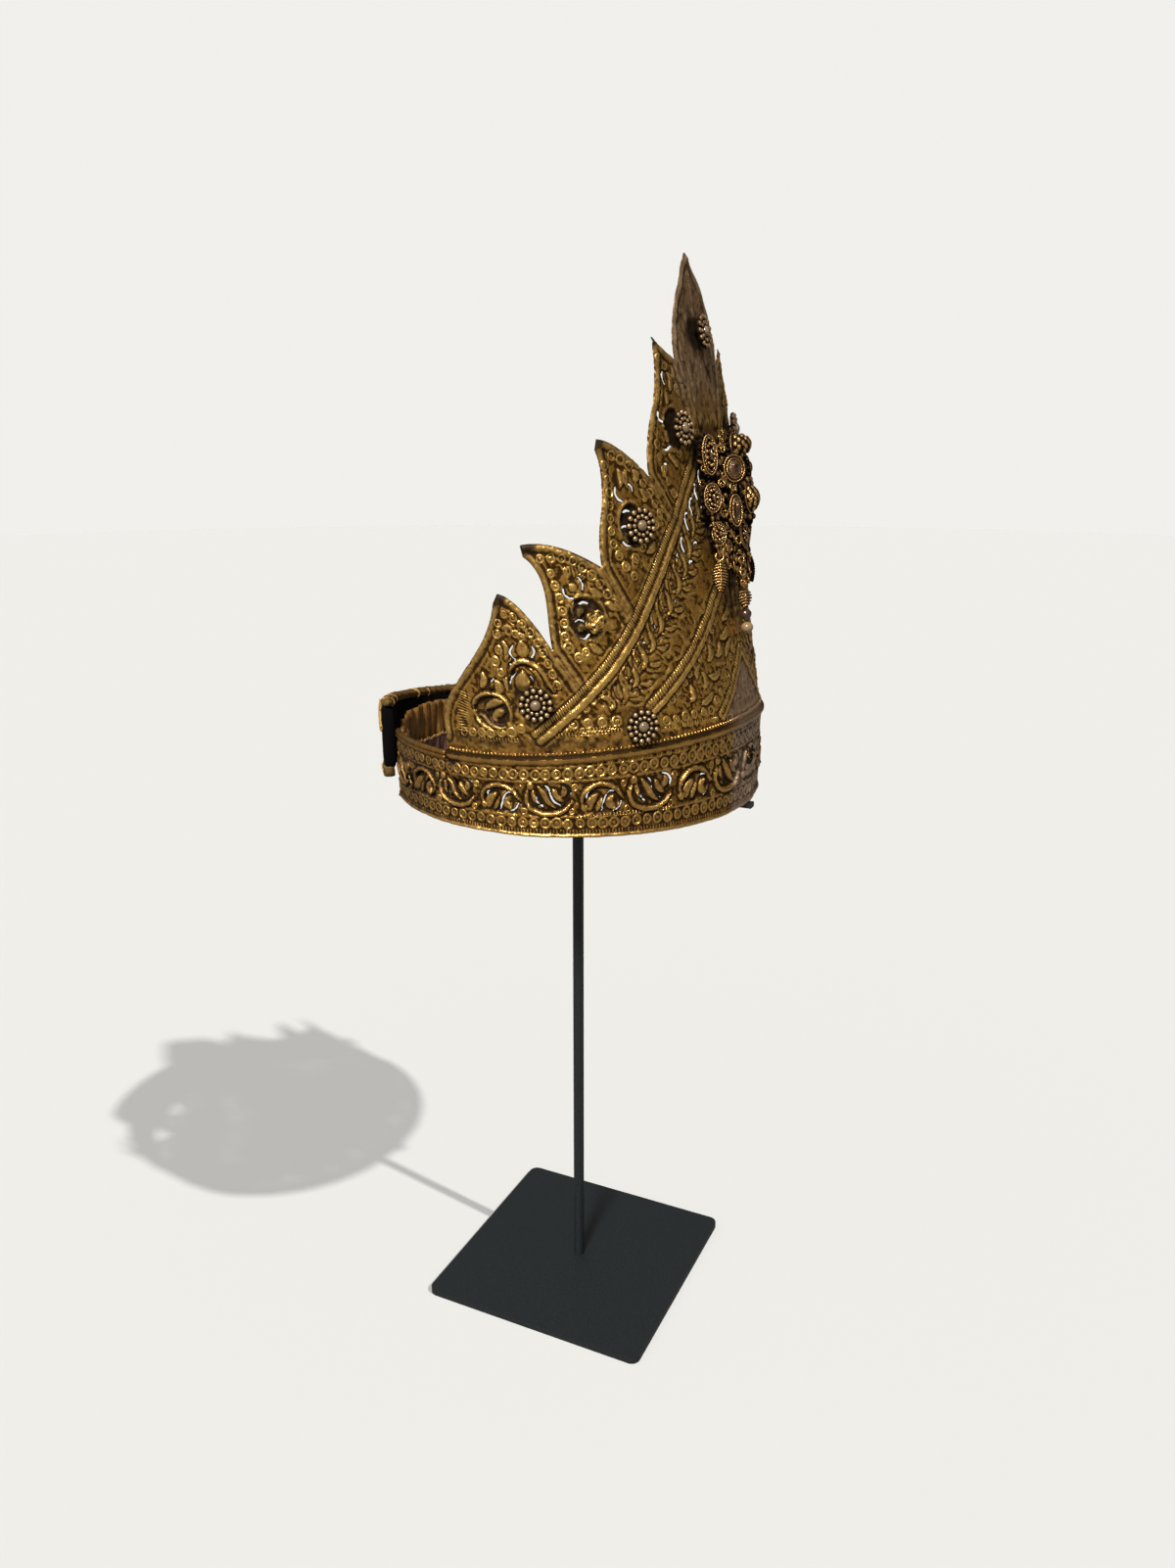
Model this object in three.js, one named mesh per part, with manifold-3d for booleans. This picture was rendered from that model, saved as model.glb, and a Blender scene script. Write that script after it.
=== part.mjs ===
// Ceremonial crown of pierced and embossed brass sheet on its display stand.
// Millimetres, +Z up. The crown looks along -Y, the origin is the middle of the base plate's underside.
import * as THREE from "three";
import { mergeVertices } from "three/addons/utils/BufferGeometryUtils.js";
import Module from "manifold-3d";

const wasm = await Module();
wasm.setup();

// ---- Driving dimensions ----
const GAP = 0.3; // between neighbouring pieces

const PLATE_SIDE = 130;
const PLATE_THICKNESS = 3.5;
const PLATE_CORNER = 5;
const ROD_RADIUS = 3;

const BAND_BOTTOM = 299.5; // above the table
const SIDE_RADIUS = 94; // of the wall at the temples
const FRONT_RADIUS = 93; // of the wall at the forehead
const LEAN_START = 40; // height above the band's lower edge where the wall starts to lean
const FRONT_LEAN = 0.188; // the front leans back by this much for each millimetre of height
const SIDE_SPREAD = 0.1; // and the sides spread by this much
const SHEET = 1.4; // thickness of the brass

const BAND_HEIGHT = 34.5; // lower edge to the middle of the top roll, at the back ends
const BAND_RISE = 9.2; // by which the roll climbs towards the forehead
const BAND_END_ARC = 225; // half the band's length
const PLATE_END_ARC = 170.5; // half the front plate's length
const ROLL_RADIUS = 3;
const RIM_RADIUS = 1.3;

const ROSETTE_RADIUS = 8.2;
const ROSETTE_STAND = 3.6; // from the wall's middle to the rosette's back
const ROSETTE_BEADS = 12;
const STONE_RADIUS = 2.4;

const STRAP_THICKNESS = 7;
const STRAP_INNER_RADIUS = 94;
const LINING_THICKNESS = 1.2;
const PLEAT_DEPTH = 1.4;
const PLEATS = 20;

const COLOURS = {
  brass: 0x94763a,
  agedBrass: 0x7a6040,
  gilt: 0xb08a3e,
  opal: 0xd8b8a8,
  crystal: 0xc9c6bc,
  pearl: 0xd9cdb4,
  blackSteel: 0x16181c,
  velvet: 0x0c0b0c,
  satin: 0x8c6034,
  goldCord: 0x9a7440,
};

// Leaves of the front plate, from the temple to the spike, as they lie on the wall: arc is measured round
// the wall from the middle of the front, height from the band's lower edge.
// Each has an outer edge from its foot to its tip by two control points, and a back edge by one to the notch.
const LEAVES = [
  {
    foot: [170.5, 43], low: [179, 64], high: [142, 79], tip: [137, 109],
    back: [124.5, 108.5], notch: [111, 85.5], root: [101, 69],
  },
  {
    foot: [111, 85.5], low: [113, 101], high: [107, 118], tip: [120.5, 130],
    back: [104, 133.5], notch: [83.2, 120.5], root: [72, 97],
  },
  {
    foot: [83.2, 120.5], low: [84.5, 140], high: [73, 150], tip: [78.5, 171.5],
    back: [67, 172.3], notch: [51.5, 157], root: [41, 139],
  },
  {
    foot: [51.5, 157], low: [54, 174], high: [36, 190], tip: [37, 214.6],
    back: [33, 210.7], notch: [22.9, 206], root: [14, 176],
  },
];
const SPIKE = { foot: [22.9, 206], low: [24, 224], high: [11, 240], tip: [0.6, 252.5] };

// Rolled ribs of the front plate, foot to top. The two sides meet in nested chevrons.
const RIBS = [
  {
    halfWidth: 2.6, height: 2.4,
    way: [[122, 46], [97.5, 66.3], [75.7, 88.2], [47.6, 126.6], [29, 151], [12, 173], [0, 187]],
  },
  { halfWidth: 2.3, height: 2, way: [[68, 57.5], [46.4, 74.6], [29.6, 90.3], [14.3, 106.3], [0, 122]] },
  { halfWidth: 1.8, height: 1.6, way: [[28, 48.5], [14, 61], [0, 77]] },
];

// Crescent slits in the leaves. Turn is in degrees from upright.
const LEAF_SLITS = [
  { arc: 130, height: 82, turn: 20, length: 9 },
  { arc: 121, height: 85, turn: -25, length: 7 },
  { arc: 130, height: 72, turn: 25, length: 8 },
  { arc: 115.5, height: 75, turn: -10, length: 6 },
  { arc: 143, height: 70, turn: 30, length: 6 },
  { arc: 102, height: 110, turn: 30, length: 8 },
  { arc: 95.5, height: 113, turn: -40, length: 7 },
  { arc: 99.5, height: 100, turn: 5, length: 7 },
  { arc: 97, height: 91, turn: 80, length: 8 },
  { arc: 70.5, height: 151, turn: 10, length: 9 },
  { arc: 63, height: 154, turn: -25, length: 7 },
  { arc: 72.5, height: 138, turn: 10, length: 6 },
  { arc: 70, height: 129.5, turn: 60, length: 6 },
  { arc: 33.5, height: 198, turn: 5, length: 9 },
  { arc: 38, height: 184, turn: 15, length: 10 },
  { arc: 38, height: 169, turn: 60, length: 6 },
  { arc: 39.5, height: 160, turn: 20, length: 5 },
];
// Two rows of slits follow the outermost rib: upright ones near it, and lying ones further in.
const STRIP_ROWS = [
  { count: 11, from: [84, 67], to: [20.5, 146], bow: -4, turn: -12, length: 8 },
  { count: 8, from: [71, 68], to: [15, 134], bow: -2, turn: 78, length: 6 },
];
const SLIT_WIDTH = 1.5;

// Scroll roundels of the band, spaced evenly, with a pierced crescent in most of them.
const ROUNDEL = { pitch: 23.6, count: 19, radius: 8.6, height: 18, relief: 1.2 };

// Rosettes of one side, with the one on the spike last.
const ROSETTES = [
  { name: "leaf_1", arc: 120.7, height: 62.2 },
  { name: "leaf_2", arc: 90.3, height: 98.2, flower: true },
  { name: "leaf_3", arc: 63.4, height: 137.3 },
  { name: "leaf_4", arc: 30, height: 177 },
  { name: "rib_foot", arc: 75.4, height: 51.2 },
  { name: "spike", arc: 0, height: 219 },
];

// Medallions of the spray before the forehead: side is the distance from the middle, proud is the distance
// of the back from the wall's front line, deep is half the stone's depth, turn swings the medallion
// outwards, in degrees.
const MEDALLIONS = [
  { name: "top", side: 0, height: 169, proud: 10.4, wide: 6, high: 6.5, deep: 4, turn: 0 },
  { name: "middle", side: 0, height: 146, proud: 14, wide: 6, high: 7, deep: 2.4, turn: 0 },
  { name: "lower", side: 0, height: 130, proud: 8.9, wide: 5.4, high: 7, deep: 1.6, turn: 0 },
  { name: "foot", side: 0, height: 115, proud: 6.2, wide: 4, high: 5.5, deep: 1.3, turn: 0 },
  { name: "inner_top", side: 8, height: 159.5, proud: 12, wide: 5.8, high: 6.2, deep: 1.6, turn: 38 },
  { name: "inner_middle", side: 9, height: 141, proud: 10.4, wide: 3.6, high: 7.4, deep: 1.3, turn: 38 },
  { name: "outer_top", side: 20, height: 165.5, proud: 5.4, wide: 4.2, high: 9, deep: 1.3, turn: 35 },
  { name: "outer_middle", side: 22.5, height: 147, proud: 4.8, wide: 4.8, high: 6.6, deep: 1.6, turn: 35 },
  { name: "outer_lower", side: 20, height: 131, proud: 4.4, wide: 4, high: 5.5, deep: 1.6, turn: 35 },
];
const MEDALLION_THICKNESS = 1.6;

// ---- The crown's wall ----

// Point of the wall at an arc round it, a height above the band's lower edge and a distance outside.
function wallPoint(arc, height, out) {
  const angle = arc / SIDE_RADIUS;
  const above = Math.max(0, height - LEAN_START);
  const depth = FRONT_RADIUS - FRONT_LEAN * above;
  const width = SIDE_RADIUS + SIDE_SPREAD * above;
  const outward = new THREE.Vector3(depth * Math.sin(angle), -width * Math.cos(angle), 0).normalize();
  return new THREE.Vector3(width * Math.sin(angle), -depth * Math.cos(angle), BAND_BOTTOM + height)
    .addScaledVector(outward, out);
}

// Height of the middle of the band's roll, which climbs towards the forehead.
function rollHeight(arc) {
  const share = Math.min(1, Math.abs(arc) / PLATE_END_ARC);
  return BAND_HEIGHT + BAND_RISE * (0.5 + 0.5 * Math.cos(Math.PI * share));
}

// Bends a flat geometry, whose x is the arc, y the height and z the distance outside, to the wall.
function bend(geometry, heightAt = (arc, height) => height) {
  const flat = geometry.attributes.position;
  for (let i = 0; i < flat.count; i++) {
    const p = wallPoint(flat.getX(i), heightAt(flat.getX(i), flat.getY(i)), flat.getZ(i));
    flat.setXYZ(i, p.x, p.y, p.z);
  }
  return geometry;
}

// ---- Solids ----

function solid(geometry) {
  const bare = geometry.clone();
  bare.deleteAttribute("normal");
  bare.deleteAttribute("uv");
  const merged = mergeVertices(bare, 1e-3);
  return new wasm.Manifold(new wasm.Mesh({
    numProp: 3,
    vertProperties: merged.attributes.position.array,
    triVerts: new Uint32Array(merged.index.array),
  }));
}

function join(solids) {
  return solids.reduce((whole, piece) => whole.add(piece));
}

function geometryOf(manifold) {
  const mesh = manifold.getMesh();
  return new THREE.BufferGeometry()
    .setAttribute("position", new THREE.BufferAttribute(new Float32Array(mesh.vertProperties), 3))
    .setIndex(new THREE.BufferAttribute(new Uint32Array(mesh.triVerts), 1));
}

function metal(color, roughness = 0.4) {
  return new THREE.MeshStandardMaterial({ color, roughness, metalness: 1 });
}

function cloth(color) {
  return new THREE.MeshStandardMaterial({ color, roughness: 0.9, metalness: 0 });
}

function gem(color) {
  return new THREE.MeshStandardMaterial({ color, roughness: 0.1, metalness: 0 });
}

const crown = new THREE.Group();

function addPiece(name, geometry, material) {
  const mesh = new THREE.Mesh(geometry, material);
  mesh.name = name;
  crown.add(mesh);
  return mesh;
}

// Puts a mesh on the wall with its own +Z along the outward direction and its +Y up the wall.
function placeOnWall(mesh, arc, height, out) {
  const along = wallPoint(arc + 1, height, out).sub(wallPoint(arc - 1, height, out)).normalize();
  const up = wallPoint(arc, height + 1, out).sub(wallPoint(arc, height - 1, out));
  const outward = new THREE.Vector3().crossVectors(along, up).normalize();
  up.crossVectors(outward, along);
  mesh.quaternion.setFromRotationMatrix(new THREE.Matrix4().makeBasis(along, up, outward));
  mesh.position.copy(wallPoint(arc, height, out));
}

// ---- Flat blanks, before bending ----

// Round section of a roll or cord, with few sides.
function polygon(sides, radius) {
  return new THREE.Shape(Array.from({ length: sides }, (_, i) => new THREE.Vector2(
    radius * Math.cos(2 * Math.PI * i / sides),
    radius * Math.sin(2 * Math.PI * i / sides),
  )));
}

// A raised three-sided ridge along a flat path on the sheet's outer face.
function ridge(points, halfWidth, height, step) {
  const root = 0.3; // sunk into the sheet
  const profile = new THREE.Shape(
    [[root, -halfWidth], [root, halfWidth], [-height, 0]].map(([x, y]) => new THREE.Vector2(x, y)),
  );
  const path = new THREE.CatmullRomCurve3(points.map(([x, y]) => new THREE.Vector3(x, y, SHEET / 2)));
  const steps = Math.max(1, Math.round(path.getLength() / step));
  return new THREE.ExtrudeGeometry(profile, { steps, extrudePath: path, bevelEnabled: false });
}

// A thin crescent through the sheet, its ends at half its length above and below its place.
function slit({ arc, height, turn, length, side = 1 }) {
  const half = length / 2;
  const bulge = side * length * 0.22;
  const outline = new THREE.Shape();
  outline.moveTo(0, -half);
  outline.quadraticCurveTo(2 * bulge + SLIT_WIDTH, 0, 0, half);
  outline.quadraticCurveTo(2 * bulge - SLIT_WIDTH, 0, 0, -half);
  const through = { depth: 6 * SHEET, curveSegments: 2, bevelEnabled: false };
  const cutter = new THREE.ExtrudeGeometry(outline, through);
  cutter.translate(0, 0, -3 * SHEET);
  cutter.rotateZ(THREE.MathUtils.degToRad(turn));
  cutter.translate(arc, height, 0);
  return cutter;
}

const vector = ([x, y]) => new THREE.Vector2(x, y);
function outerEdge({ foot, low, high, tip }) {
  return new THREE.CubicBezierCurve(...[foot, low, high, tip].map(vector));
}
const backEdge = (leaf) => new THREE.QuadraticBezierCurve(...[leaf.tip, leaf.back, leaf.notch].map(vector));

// Points beside a flat curve, moved to its left-hand side.
function beside(curve, distance, divisions) {
  const points = [];
  for (let i = 0; i <= divisions; i++) {
    const p = curve.getPoint(i / divisions);
    const t = curve.getTangent(i / divisions);
    points.push([p.x - distance * t.y, p.y + distance * t.x]);
  }
  return points;
}

// ---- Stand ----

function makeBasePlate() {
  const half = PLATE_SIDE / 2;
  const inner = half - PLATE_CORNER;
  const outline = new THREE.Shape();
  outline.absarc(inner, inner, PLATE_CORNER, 0, Math.PI / 2);
  outline.absarc(-inner, inner, PLATE_CORNER, Math.PI / 2, Math.PI);
  outline.absarc(-inner, -inner, PLATE_CORNER, Math.PI, 1.5 * Math.PI);
  outline.absarc(inner, -inner, PLATE_CORNER, 1.5 * Math.PI, 2 * Math.PI);
  const depth = PLATE_THICKNESS;
  return new THREE.ExtrudeGeometry(outline, { depth, curveSegments: 5, bevelEnabled: false });
}

// The front arm passes under the band, the other two end in light touch with its inside.
const SUPPORT = {
  hubRadius: 9, hubTop: 2.8, hubHeight: 8, armWidth: 5, armThickness: 2.5,
  arms: [
    { degrees: -90, top: -GAP, reach: 96 },
    { degrees: 42, top: 2.8, reach: 91.8 },
    { degrees: 138, top: 2.8, reach: 91.8 },
  ],
};

function makeRod() {
  const top = BAND_BOTTOM + SUPPORT.hubTop - SUPPORT.hubHeight - GAP;
  const bottom = PLATE_THICKNESS + GAP;
  const rod = new THREE.CylinderGeometry(ROD_RADIUS, ROD_RADIUS, top - bottom, 20);
  rod.rotateX(Math.PI / 2);
  rod.translate(0, 0, (top + bottom) / 2);
  return rod;
}

// Hub and three arms that hold the band from below and inside.
function makeSupport() {
  const hub = new THREE.CylinderGeometry(SUPPORT.hubRadius, SUPPORT.hubRadius, SUPPORT.hubHeight, 20);
  hub.rotateX(Math.PI / 2);
  hub.translate(0, 0, BAND_BOTTOM + SUPPORT.hubTop - SUPPORT.hubHeight / 2);
  const pieces = [solid(hub)];
  for (const { degrees, top, reach } of SUPPORT.arms) {
    const arm = new THREE.BoxGeometry(reach, SUPPORT.armWidth, SUPPORT.armThickness);
    arm.translate(reach / 2, 0, BAND_BOTTOM + top - SUPPORT.armThickness / 2);
    pieces.push(solid(arm.rotateZ(THREE.MathUtils.degToRad(degrees))));
  }
  return geometryOf(join(pieces));
}

// ---- Headband ----

function makeHeadband() {
  const step = 11;
  const length = 2 * BAND_END_ARC;
  const sheet = new THREE.BoxGeometry(length, BAND_HEIGHT, SHEET, Math.round(length / step), 1, 1);
  sheet.translate(0, BAND_HEIGHT / 2, 0);
  const end = BAND_END_ARC - 0.5;
  const rollEnd = PLATE_END_ARC;
  const stretched = (arc, height) => height * rollHeight(arc) / BAND_HEIGHT;
  const flat = [
    sheet,
    ridge([[-end, 2], [0, 2], [end, 2]], 2, 1.5, step),
    ridge([[-end, BAND_HEIGHT - 1.4], [-rollEnd - 1, BAND_HEIGHT - 1.4]], RIM_RADIUS, RIM_RADIUS, step),
    ridge([[rollEnd + 1, BAND_HEIGHT - 1.4], [end, BAND_HEIGHT - 1.4]], RIM_RADIUS, RIM_RADIUS, step),
  ];
  const first = -(ROUNDEL.count - 1) / 2;
  const places = Array.from({ length: ROUNDEL.count }, (_, i) => (first + i) * ROUNDEL.pitch);
  for (const arc of places) {
    const boss = new THREE.CylinderGeometry(0.75 * ROUNDEL.radius, ROUNDEL.radius, ROUNDEL.relief + GAP, 7);
    boss.rotateX(Math.PI / 2);
    boss.scale(1.18, 0.95, 1);
    boss.translate(arc, ROUNDEL.height, SHEET / 2 + (ROUNDEL.relief - GAP) / 2);
    flat.push(boss);
  }
  let band = join(flat.map((piece) => solid(bend(piece, stretched))));
  for (const arc of places.filter((_, i) => i % 2 === 0)) {
    band = band.subtract(solid(bend(slit({ arc, height: ROUNDEL.height, turn: 60, length: 7 }), stretched)));
  }
  const path = new THREE.CatmullRomCurve3(
    Array.from({ length: 25 }, (_, i) => {
      const arc = rollEnd * (i / 12 - 1);
      return wallPoint(arc, rollHeight(arc), 0.6);
    }),
  );
  const section = polygon(6, ROLL_RADIUS);
  const roll = new THREE.ExtrudeGeometry(section, { steps: 26, extrudePath: path, bevelEnabled: false });
  return geometryOf(band.add(solid(roll)));
}

// ---- Front plate ----

// The whole outline: along the roll, up the far leaves to the spike, and the same back down the near side.
function plateOutline() {
  const half = [];
  const footSteps = 12;
  for (let i = 0; i <= footSteps; i++) {
    const arc = PLATE_END_ARC * i / footSteps;
    half.push(new THREE.Vector2(arc, rollHeight(arc) + ROLL_RADIUS + GAP));
  }
  for (const leaf of LEAVES) {
    half.push(...outerEdge(leaf).getPoints(6), ...backEdge(leaf).getPoints(4).slice(1, -1));
  }
  half.push(...outerEdge(SPIKE).getPoints(6));
  const other = half.slice(1).reverse().map((p) => new THREE.Vector2(-p.x, p.y));
  return new THREE.Shape([...half, ...other]);
}

function makeFrontPlate() {
  const height = SPIKE.tip[1] + 5;
  const step = 15;
  const columns = Math.round(2 * PLATE_END_ARC / 16);
  const sheet = new THREE.BoxGeometry(2 * PLATE_END_ARC + 2, height, SHEET, columns, 6, 1);
  sheet.translate(0, height / 2, 0);
  const outline = new THREE.ExtrudeGeometry(plateOutline(), { depth: 20 * SHEET, bevelEnabled: false });
  outline.translate(0, 0, -10 * SHEET);
  const flat = [geometryOf(solid(sheet).intersect(solid(outline)))];
  const rim = { halfWidth: 1.5, height: 1.2, inset: 2.5 };
  for (const side of [1, -1]) {
    const flip = (points) => points.map(([x, y]) => [side * x, y]);
    for (const leaf of [...LEAVES, SPIKE]) {
      flat.push(ridge(flip(beside(outerEdge(leaf), rim.inset, 5)), rim.halfWidth, rim.height, step));
      if (!leaf.notch) continue;
      flat.push(ridge(flip(beside(backEdge(leaf), rim.inset, 5)), rim.halfWidth, rim.height, step));
      flat.push(ridge(flip([leaf.notch, leaf.root]), rim.halfWidth, rim.height, step));
    }
    for (const rib of RIBS) flat.push(ridge(flip(rib.way), rib.halfWidth, rib.height, step));
  }
  let plate = join(flat.map((piece) => solid(bend(piece))));
  for (const place of [...LEAF_SLITS, ...stripSlits()]) {
    for (const side of [1, -1]) {
      const cutter = slit({ ...place, arc: side * place.arc, turn: side * place.turn, side });
      plate = plate.subtract(solid(bend(cutter)));
    }
  }
  return geometryOf(plate);
}

// The two rows of slits beside the outer rib.
function stripSlits() {
  const places = [];
  for (const row of STRIP_ROWS) {
    for (let i = 0; i < row.count; i++) {
      const t = i / (row.count - 1);
      const bow = row.bow * 4 * t * (1 - t);
      places.push({
        arc: row.from[0] + (row.to[0] - row.from[0]) * t + bow,
        height: row.from[1] + (row.to[1] - row.from[1]) * t + bow,
        turn: row.turn,
        length: row.length,
      });
    }
  }
  return places;
}

// ---- Rosettes ----

// A stem, a disc and a ring of beads, or a plain six-petalled flower.
function makeRosette(flower) {
  const stem = new THREE.CylinderGeometry(2, 2, ROSETTE_STAND - SHEET / 2 - GAP + 0.5, 6);
  stem.rotateX(Math.PI / 2);
  stem.translate(0, 0, -(ROSETTE_STAND - SHEET / 2 - GAP) / 2 + 0.2);
  const radius = flower ? 3.4 : ROSETTE_RADIUS;
  const collar = flower ? [] : [[4.6, 1.2], [3.6, 1.9]];
  const top = flower ? 1.2 : 1.9;
  const profile = [[0, 0], [radius, 0], [radius, 1.2], ...collar, [0, top]];
  const disc = new THREE.LatheGeometry(profile.map(([x, y]) => new THREE.Vector2(x, y)), ROSETTE_BEADS);
  disc.rotateX(Math.PI / 2);
  const pieces = [solid(stem), solid(disc)];
  const count = flower ? 6 : ROSETTE_BEADS;
  const size = flower ? 2.1 : 1.3;
  for (let i = 0; i < count; i++) {
    const angle = 2 * Math.PI * (i + 0.5) / count;
    const bead = new THREE.ConeGeometry(size, 1.6, flower ? 5 : 3);
    bead.rotateX(Math.PI / 2);
    const ring = flower ? 3.8 : ROSETTE_RADIUS - size - 0.2;
    bead.translate(ring * Math.cos(angle), ring * Math.sin(angle), flower ? 1.1 : 1.6);
    pieces.push(solid(bead));
  }
  return geometryOf(join(pieces));
}

function addRosettes() {
  for (const { name, arc, height, flower } of ROSETTES) {
    const sides = arc ? [["near", -1], ["far", 1]] : [["front", 0]];
    for (const [side, sign] of sides) {
      const label = arc ? `${name}_${side}` : name;
      const rosette = addPiece(`rosette_${label}`, makeRosette(flower), metal(COLOURS.agedBrass));
      placeOnWall(rosette, sign * arc, height, ROSETTE_STAND);
      if (flower) continue;
      const dome = new THREE.SphereGeometry(STONE_RADIUS, 6, 4);
      dome.scale(1, 1, 0.6);
      const stone = addPiece(`rosette_stone_${label}`, dome, gem(COLOURS.opal));
      placeOnWall(stone, sign * arc, height, ROSETTE_STAND + 1.9 + GAP + 0.6 * STONE_RADIUS);
    }
  }
}

// ---- Spray ----

// Place of a point of the spray: to the side, above the band's lower edge, and proud of the wall's front.
function sprayPoint(side, height, proud) {
  const front = wallPoint(0, height, proud);
  return new THREE.Vector3(side, front.y, front.z);
}

function medallionPlaces() {
  return MEDALLIONS.flatMap((medallion) => (medallion.side
    ? [["near", -1], ["far", 1]]
    : [["centre", 0]]).map(([label, sign]) => ({
    ...medallion,
    label: medallion.side ? `${medallion.name}_${label}` : medallion.name,
    centre: sprayPoint(sign * medallion.side, medallion.height, medallion.proud),
    swing: THREE.MathUtils.degToRad(sign * medallion.turn),
  })));
}

// Leans an upright piece of the spray back like the wall, swings it outwards and puts it in its place.
function hang(geometry, swing, place) {
  geometry.rotateX(-Math.atan(FRONT_LEAN));
  geometry.rotateZ(swing);
  geometry.translate(...place.toArray());
  return geometry;
}

// The oval bezel of a medallion, its face towards the front.
function makeBezel({ wide, high, swing, centre }) {
  const oval = new THREE.CylinderGeometry(1, 1, MEDALLION_THICKNESS, 8);
  oval.scale(wide, 1, high);
  oval.translate(0, -MEDALLION_THICKNESS / 2, 0);
  return hang(oval, swing, centre);
}

function bar(from, to, radius) {
  const rod = new THREE.CylinderGeometry(radius, radius, from.distanceTo(to), 4);
  rod.applyQuaternion(new THREE.Quaternion().setFromUnitVectors(
    new THREE.Vector3(0, 1, 0), to.clone().sub(from).normalize()));
  rod.translate(...from.clone().add(to).multiplyScalar(0.5).toArray());
  return rod;
}

const SPRAY_BACK = { proud: 4.6, radius: 1.2, top: 172, bottom: 112 };

// The spray's soldered frame: an upright bar with a stem to each medallion's bezel.
function makeSprayFrame() {
  const pieces = [solid(bar(
    sprayPoint(0, SPRAY_BACK.bottom, SPRAY_BACK.proud),
    sprayPoint(0, SPRAY_BACK.top, SPRAY_BACK.proud),
    SPRAY_BACK.radius,
  ))];
  for (const place of medallionPlaces()) {
    pieces.push(solid(makeBezel(place)));
    const outward = new THREE.Vector3(Math.sin(place.swing), -Math.cos(place.swing), 0);
    const inside = place.centre.clone().addScaledVector(outward, MEDALLION_THICKNESS / 2);
    pieces.push(solid(bar(sprayPoint(0, place.height, SPRAY_BACK.proud), inside, 0.8)));
  }
  for (const side of [-3, 0, 3]) {
    pieces.push(solid(bar(sprayPoint(side * 0.3, 171, 5), sprayPoint(side, 180, 9), 0.5)));
  }
  return geometryOf(join(pieces));
}

function addSprayStones() {
  for (const place of medallionPlaces()) {
    const stone = new THREE.SphereGeometry(1, 8, 4);
    stone.scale(place.wide - 1.2, place.deep, place.high - 1.2);
    stone.translate(0, -MEDALLION_THICKNESS - GAP - place.deep, 0);
    hang(stone, place.swing, place.centre);
    addPiece(`spray_stone_${place.label}`, stone, gem(COLOURS.crystal));
  }
}

// A drop: a ring over a ridged leaf, hung below the spray.
function makeDrop({ side, top, proud, length, wide, swing }) {
  const ring = new THREE.TorusGeometry(1.9, 0.55, 5, 10);
  ring.translate(0, -1.9, 0);
  const leaf = new THREE.SphereGeometry(1, 8, 6);
  leaf.scale(wide, length / 2, 1.3);
  leaf.translate(0, -3.6 - length / 2, 0);
  const drop = geometryOf(solid(ring).add(solid(leaf)));
  drop.rotateX(Math.PI / 2);
  return hang(drop, THREE.MathUtils.degToRad(swing), sprayPoint(side, top, proud));
}

const DROPS = [
  { name: "spray_drop_centre", side: 0, top: 109, proud: 6.2, length: 9.4, wide: 3.6, swing: 0 },
  { name: "spray_drop_near", side: -20, top: 123, proud: 3.4, length: 16, wide: 3, swing: -40 },
  { name: "spray_drop_far", side: 20, top: 123, proud: 3.4, length: 16, wide: 3, swing: 40 },
];

function addDrops() {
  for (const drop of DROPS) addPiece(drop.name, makeDrop(drop), metal(COLOURS.gilt));
  const beads = [
    { name: "spray_bead_dark", height: 93, radius: 2.6, color: COLOURS.agedBrass },
    { name: "spray_bead_pale", height: 87.6, radius: 2.4, color: COLOURS.pearl },
  ];
  for (const { name, height, radius, color } of beads) {
    const bead = new THREE.SphereGeometry(radius, 8, 6);
    bead.translate(...sprayPoint(0, height, 5.4).toArray());
    addPiece(name, bead, gem(color));
  }
}

// ---- Wire ties ----

// Small rings of twisted wire that tie the lining through the band.
function addWireTies() {
  const ties = [
    { name: "wire_tie_near", arc: -210, height: 15 },
    { name: "wire_tie_far", arc: 210, height: 15 },
    { name: "wire_tie_front", arc: -6, height: 26 },
  ];
  for (const { name, arc, height } of ties) {
    const loop = new THREE.TorusGeometry(2.6, 0.7, 4, 9);
    loop.scale(0.7, 1.3, 1);
    placeOnWall(addPiece(name, loop, metal(COLOURS.gilt)), arc, height, SHEET / 2 + 1.9 + GAP);
  }
}

// ---- Cloth at the back ----

// Bends a flat blank, x the angle in degrees from the middle of the back, y the height, z outwards.
function bendRoundBack(geometry, radius, shape = (angle, height, out) => [height, out]) {
  const flat = geometry.attributes.position;
  for (let i = 0; i < flat.count; i++) {
    const [height, out] = shape(flat.getX(i), flat.getY(i), flat.getZ(i));
    const angle = THREE.MathUtils.degToRad(flat.getX(i));
    flat.setXYZ(i, -(radius + out) * Math.sin(angle), (radius + out) * Math.cos(angle), BAND_BOTTOM + height);
  }
  return geometry;
}

const STRAP = { halfAngle: 41, bottom: 5, height: 26.5, endHeight: 33, endLift: 8 };

// Height of the strap at a share of the way up it: between its ends it sags and narrows.
function strapHeight(angle, share) {
  const end = (angle / STRAP.halfAngle) ** 2;
  return STRAP.bottom + STRAP.endLift * end + share * (STRAP.height + (STRAP.endHeight - STRAP.height) * end);
}

function makeStrap() {
  const blank = new THREE.BoxGeometry(2 * STRAP.halfAngle, 1, STRAP_THICKNESS, 14, 3, 1);
  blank.translate(0, 0.5, STRAP_THICKNESS / 2);
  return bendRoundBack(blank, STRAP_INNER_RADIUS, (angle, share, out) => {
    const soft = 1 - 0.35 * Math.abs(2 * share - 1) ** 4;
    return [strapHeight(angle, share), STRAP_THICKNESS / 2 + (out - STRAP_THICKNESS / 2) * soft];
  });
}

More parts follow.
